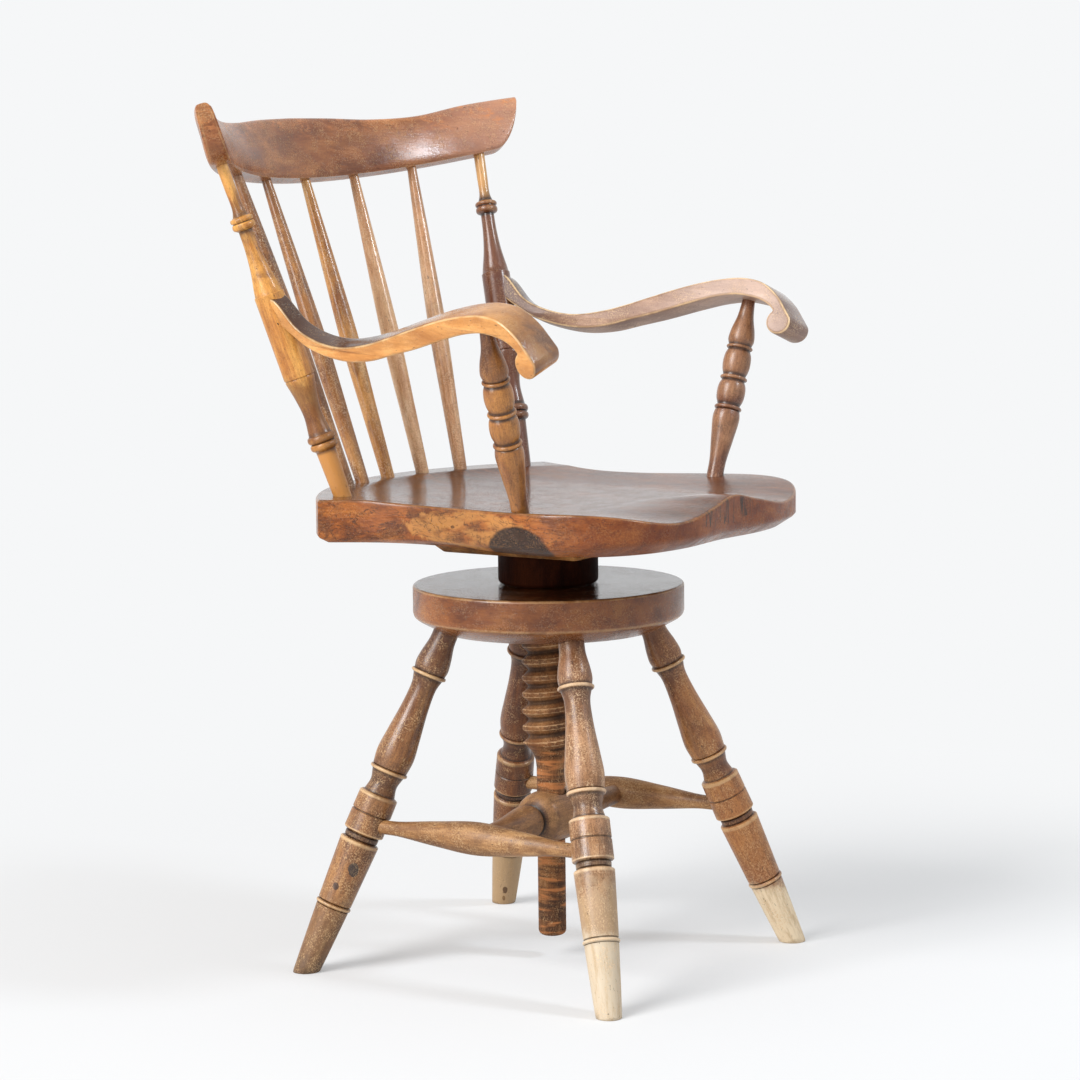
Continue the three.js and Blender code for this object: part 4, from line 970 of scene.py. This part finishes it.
def seat_height(x, y):
    inside = np.maximum(DISH_RADIUS - np.hypot(x, y + DISH_CENTRE_BACK), 0)
    entry = 1 - np.exp(-inside / DISH_SLOPE)
    side = 1 - DISH_SIDE_LOSS * smoothstep(np.abs(x), SEAT_HALF_WIDTH / 2, SEAT_HALF_WIDTH)
    forward = smoothstep(-y, LEG_HOLLOW_REAR, SEAT_FRONT)
    middle = DISH_DEPTH * side * entry
    hollow = LEG_HOLLOW_DEPTH * bell(np.abs(x) - LEG_HOLLOW_OFFSET, LEG_HOLLOW_WIDTH)
    front = hollow - POMMEL_RISE * bell(x, POMMEL_WIDTH)
    return SEAT_TOP - middle - (front - middle) * forward


def seat_rings(feet):
    """Rings of the seat from its underside over the rim to its middle, with their relief and their mask."""
    edge = seat_edge()
    reach = np.linalg.norm(edge, axis=1)
    forward = smoothstep(-edge[:, 1], 0, SEAT_FRONT)
    chamfer, rise = (back + (front - back) * forward for back, front in zip(SEAT_CHAMFER, SEAT_FRONT_CHAMFER))
    low, rim = SEAT_BOTTOM + rise, seat_height(*edge.T)
    rings, relief, mask = [], [], []

    def ring(inset, height, ridge=0, top=0):
        flat = edge * (1 - (inset + KEPT_IN) / reach)[:, None]
        rings.append(np.column_stack([flat, np.broadcast_to(height, len(edge))]))
        relief.append(np.full(len(edge), ridge))
        mask.append(np.full(len(edge), top))

    ring(chamfer + SEAT_EDGE_EASE[0], SEAT_BOTTOM)
    for across, up, ridge in SEAT_CHAMFER_ROWS:
        ring(chamfer * across, SEAT_BOTTOM + rise * up, ridge)
    ring(0, low + SEAT_EDGE_EASE[1], SEAT_RIDGES[0])
    for share in SEAT_SIDE_SHARES:
        ring(0, low + share * (rim - SEAT_RIM - low))
    for angle in np.linspace(0, pi / 2, ROUND_STEPS):
        inset = SEAT_RIM * (1 - cos(angle))
        top = seat_height(*(edge * (1 - inset / reach)[:, None]).T)
        ring(inset, top - SEAT_RIM * (1 - sin(angle)), SEAT_RIDGES[1] * sin(2 * angle), sin(angle))
    for share in SEAT_RING_SHARES:
        flat = edge * share
        rings.append(np.column_stack([flat, seat_height(*flat.T)]))
        gap = np.min([np.hypot(flat[:, 0] - x, flat[:, 1] - y) - radius for x, y, radius in feet], axis=0)
        # Dark relief round each foot in the seat: partly grime, partly painted shade where the parts meet.
        relief.append(FOOT_GRIME_AND_SHADE[0] * (1 - smoothstep(gap, 0, FOOT_GRIME_AND_SHADE[1])))
        mask.append(np.ones(len(edge)))
    return np.vstack(rings), len(rings), np.concatenate(relief), np.concatenate(mask)


post_foot = Vector((POST_FOOT_SHARES[0] * SEAT_HALF_WIDTH, POST_FOOT_SHARES[1] * SEAT_BACK, SEAT_TOP))
support_foot = Vector((SUPPORT_FOOT_SHARES[0] * SEAT_HALF_WIDTH, SUPPORT_FOOT_SHARES[1] * SEAT_FRONT, SEAT_TOP))
spindle_feet = []
for share in SPINDLE_FOOT_SHARES:
    across = share * SEAT_HALF_WIDTH
    depth = SPINDLE_FOOT_ARC - sqrt(SPINDLE_FOOT_ARC**2 - across**2)
    spindle_feet.append(Vector((across, SPINDLE_FOOT_BACK_SHARE * SEAT_BACK - depth, SEAT_TOP)))
radii = np.multiply(FOOT_SHARES, (SPINDLE_RADIUS, POST_RADIUS, SUPPORT_RADIUS))
foot_rings = [(foot.x, foot.y, radii[0]) for foot in spindle_feet] + [
    (side * foot.x, foot.y, radius)
    for _, side in HANDS for foot, radius in ((post_foot, radii[1]), (support_foot, radii[2]))]
points, rows, relief, mask = seat_rings(foot_rings)
add_piece("seat", points, capped_faces(rows, SEAT_SPOKES), "seat", seat_wood, ["seat"], grain=points[:, (X, Z, Y)],
          relief=relief, mask=mask, sharp=SHARP_RIM_ANGLE)


# Posts, spindles, arms and supports
def crest_point(angle, height, out):
    slope = hypot(1, LEAN)
    reach = CREST_BEND + LEAN * (height - CREST_BOTTOM) + out / slope
    back = CREST_MIDDLE_BACK - CREST_BEND + reach * cos(angle)
    return Vector((reach * sin(angle), back, height - out * LEAN / slope))


def crest_lower_edge(angle):
    return CREST_BOTTOM + CREST_END_RISE * (angle / CREST_HALF_ANGLE) ** 2


def crest_seat(offset):
    angle = asin(offset / CREST_BEND)
    return crest_point(angle, crest_lower_edge(angle), 0)


post_head = crest_seat(POST_HEAD_OFFSET)
arm_share = (ARM_AXIS_HEIGHT - SEAT_TOP) / (post_head.z - SEAT_TOP)
post_rows = [
    (form, *(((1 + along) * arm_share if along < 0 else arm_share + along * (1 - arm_share), out)
             for along, out in shares))
    for form, *shares in POST_ROWS
]
for i, (foot, share, material) in enumerate(zip(spindle_feet, SPINDLE_HEAD_SHARES, spindle_woods), 1):
    turned_piece(f"spindle_{i}", SPINDLE_ROWS, SPINDLE_RADIUS, foot, crest_seat(share * POST_HEAD_OFFSET),
                 material, sides=SPINDLE_SIDES)


def arm_outline():
    """The arm seen from its side, over the top from the post, round the scroll and back underneath."""
    scale = np.array((ARM_REACH, ARM_DROP))
    scroll = [SCROLL_CENTRE_SHARES * scale + SCROLL_RADIUS * np.array((cos(a), -sin(a)))
              for a in np.linspace(*SCROLL_TURN, SCROLL_POINTS)]
    upper, lower = (spline(np.array(shares) * scale) for shares in (ARM_UPPER_SHARES, ARM_LOWER_SHARES))
    return spaced(np.vstack([upper, scroll, lower]), ARM_POINTS)


def arm_piece(hand, side, matrix):
    outline = arm_outline()
    along = np.roll(outline, -1, axis=0) - np.roll(outline, 1, axis=0)
    outward = np.stack([-along[:, 1], along[:, 0]], axis=1) / np.linalg.norm(along, axis=1)[:, None]
    rings, relief, mask = [], [], []
    for shares, inset_way, turns in ((ARM_OUTER_SHARES, -1, (0, pi / 2)), (ARM_INNER_SHARES, 1, (pi / 2, 0))):
        plan = spline(np.array(shares) * (ARM_REACH, ARM_SPREAD)).T
        for turn in np.linspace(*turns, ARM_RIM_ROWS):
            ring = outline - outward * (ARM_RIM * (1 - sin(turn)))
            across = np.interp(ring[:, 0], *plan) + inset_way * ARM_RIM * (1 - cos(turn))
            rings.append(np.column_stack([side * across, -ring[:, 0], ring[:, 1]]))
            relief.append(np.full(ARM_POINTS, ARM_WEAR * sin(2 * turn)))
            mask.append(sin(turn) * smoothstep(outward @ ARM_TOP_WAY, 0, 0.3))
    local = np.vstack(rings)
    faces = ring_faces(len(rings), ARM_POINTS)
    flat = [Vector((*point, 0)) for point in outline - outward * ARM_RIM]
    last = (len(rings) - 1) * ARM_POINTS
    for triangle in geometry.tessellate_polygon([flat]):
        faces.append(triangle)
        faces.append(tuple(last + corner for corner in reversed(triangle)))
    name = f"arm_{hand}"
    arm = add_piece(name, moved(local, matrix), faces, "seat", arm_woods[hand], [name], grain=local[:, (X, Z, Y)],
                    relief=np.concatenate(relief), mask=np.concatenate(mask), sharp=SHARP_RIM_ANGLE)
    made = bmesh.new()
    made.from_mesh(arm.data)
    bmesh.ops.recalc_face_normals(made, faces=made.faces)
    made.to_mesh(arm.data)
    made.free()


for hand, side in HANDS:
    foot, head = mirrored(post_foot, side), mirrored(post_head, side)
    turned_piece(f"back_post_{hand}", post_rows, POST_RADIUS, foot, head, post_woods[hand])
    place = foot.lerp(head, arm_share) + Vector((side * ARM_AXIS_OUT, -ARM_ROOT_SHARE * ARM_REACH, 0))
    turn = Matrix.Rotation(ARM_PITCH, 4, "X") @ Matrix.Rotation(side * ARM_TILT, 4, "Y")
    arm_frame = Matrix.Translation(place) @ turn
    arm_piece(hand, side, arm_frame)
    across, forward, up = SUPPORT_HEAD_SHARES
    support_head = arm_frame @ Vector((side * across * ARM_SPREAD, -forward * ARM_REACH, up * ARM_DROP))
    turned_piece(f"arm_support_{hand}", SUPPORT_ROWS, SUPPORT_RADIUS, mirrored(support_foot, side), support_head,
                 support_woods[hand])

# Crest rail
bend_wear, most_wear, end_wear = CREST_WEAR
section = np.array(CREST_SECTION_SHARES)
section = spline(np.vstack([section, section[:1]]) * (CREST_THICKNESS, CREST_HEIGHT))[:-1]
before, after = np.roll(section, 1, axis=0), np.roll(section, -1, axis=0)
bends = np.abs(np.cross(section - before, after - section)) / (
    np.linalg.norm(section - before, axis=1) * np.linalg.norm(after - section, axis=1))
section_relief = np.clip(bends * bend_wear, 0, most_wear)
section = section / (CREST_THICKNESS, CREST_HEIGHT)
upper = spline(list(enumerate(CREST_UPPER_SHARES)), CREST_SPAN_STEPS)
stations = np.sin(np.linspace(-pi / 2, pi / 2, CREST_STATIONS))[1:-1]
stations = np.unique(np.round(np.concatenate([np.negative(END_STATIONS), stations, END_STATIONS]), 5))
points, grain, relief = [], [], []
for spread in stations:
    angle, share = spread * CREST_HALF_ANGLE, abs(spread)
    top = CREST_BOTTOM + CREST_HEIGHT + CREST_EAR_RISE * np.interp(share * (len(CREST_UPPER_SHARES) - 1), *upper.T)
    end = max(0, (share - CREST_TURN_UP) / (1 - CREST_TURN_UP))
    turn_up = 1 - sqrt(1 - min(end, CREST_TURN_LIMIT) ** 2)
    bottom = crest_lower_edge(angle) * (1 - turn_up) + top * turn_up
    thickness = CREST_THICKNESS * (1 - CREST_END_THINNING * end**2) - 2 * KEPT_IN
    from_end = (1 - share) * CREST_HALF_ANGLE * CREST_BEND
    drawn_in = END_ROUND - sqrt(max(END_ROUND**2 - max(END_ROUND - from_end, 0) ** 2, 0))
    for (out, up), ridge in zip(section, section_relief):
        height = bottom + (top - bottom) * up
        height += np.clip((bottom + top) / 2 - height, -drawn_in, drawn_in)
        points.append(crest_point(angle, height, out * (thickness - 2 * drawn_in)))
        grain.append((out * thickness, height, angle * CREST_BEND))
        relief.append(max(ridge, end_wear * (drawn_in > 0)))
add_piece("crest_rail", points, capped_faces(len(stations), len(section)), "seat", crest_wood, ["crest_rail"],
          grain=grain, relief=relief)

for name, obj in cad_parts.items():
    if name.startswith(("cleat_screw", "arm_pin")):
        obj.data.materials.clear()
        obj.data.materials.append(iron)


# Camera, floor and light
def photo_camera():
    data = bpy.data.cameras.new("camera")
    data.sensor_width = SENSOR_WIDTH
    data.lens = FOCAL_PIXELS * SENSOR_WIDTH / PHOTO_SIDE
    data.clip_end = 100
    heading = Matrix.Rotation(-CHAIR_TURN - CAMERA_YAW, 4, "Z")
    tilt = Matrix.Rotation(pi / 2 - CAMERA_PITCH, 4, "X") @ Matrix.Rotation(CAMERA_ROLL, 4, "Z")
    camera = linked("camera", data)
    camera.matrix_world = Matrix.Translation(CAMERA_PLACE) @ heading @ tilt
    bpy.context.scene.camera = camera


def lamp(name, kind, place, target, **settings):
    data = bpy.data.lights.new(name, kind)
    for key, value in settings.items():
        setattr(data, key, value)
    linked(name, data).matrix_world = placed(place, target) @ Matrix.Rotation(pi, 4, "X")


PALE = "f6f7f8"


def floor_material():
    """A pale floor that keeps the chair's shadow near it, and meets the backdrop's tone farther off."""
    s = Shading(bpy.data.materials.new("floor"))
    s.put(s.shader, base_color="dcdcdc", roughness=0.95)
    distance = s.vector("LENGTH", s.place())[1]
    share = s.times(s.node("LightPath").outputs["Is Camera Ray"], (distance, *FLOOR_FADE))
    s.end(share, s.node("Emission", PALE, 1))
    return s.owner


def studio_floor():
    corners = [(x * FLOOR_REACH, y * FLOOR_REACH, -FLOOR_DROP) for x, y in ((-1, -1), (1, -1), (1, 1), (-1, 1))]
    floor = mesh_object("floor", corners, [(0, 1, 2, 3)])
    floor.data.materials.append(floor_material())


def studio_world():
    """A pale backdrop, and a softer white light from all round."""
    s = Shading(bpy.data.worlds.new("studio"), "Background")
    s.put(s.shader, color="ffffff", strength=AMBIENT)
    ray = s.node("LightPath").outputs
    seen = s.math("MAXIMUM", *(ray[f"Is {kind} Ray"] for kind in ("Camera", "Glossy", "Transmission")))
    s.end(seen, s.node("Background", PALE))
    bpy.context.scene.world = s.owner


photo_camera()
studio_floor()
studio_world()
lamp("sun", "SUN", (-2.9, 0.9, 2.8), CHAIR_MIDDLE, energy=2.6, angle=radians(30))
lamp("left panel", "AREA", (-2.6, 0.6, 1.2), CHAIR_MIDDLE, energy=30, size=1.2)
lamp("crest panel", "AREA", (0.55, -1.96, 2.22), CREST_LIT, energy=30, size=0.42, color=(0.84, 0.92, 1))
bpy.context.scene.view_settings.view_transform = "Standard"
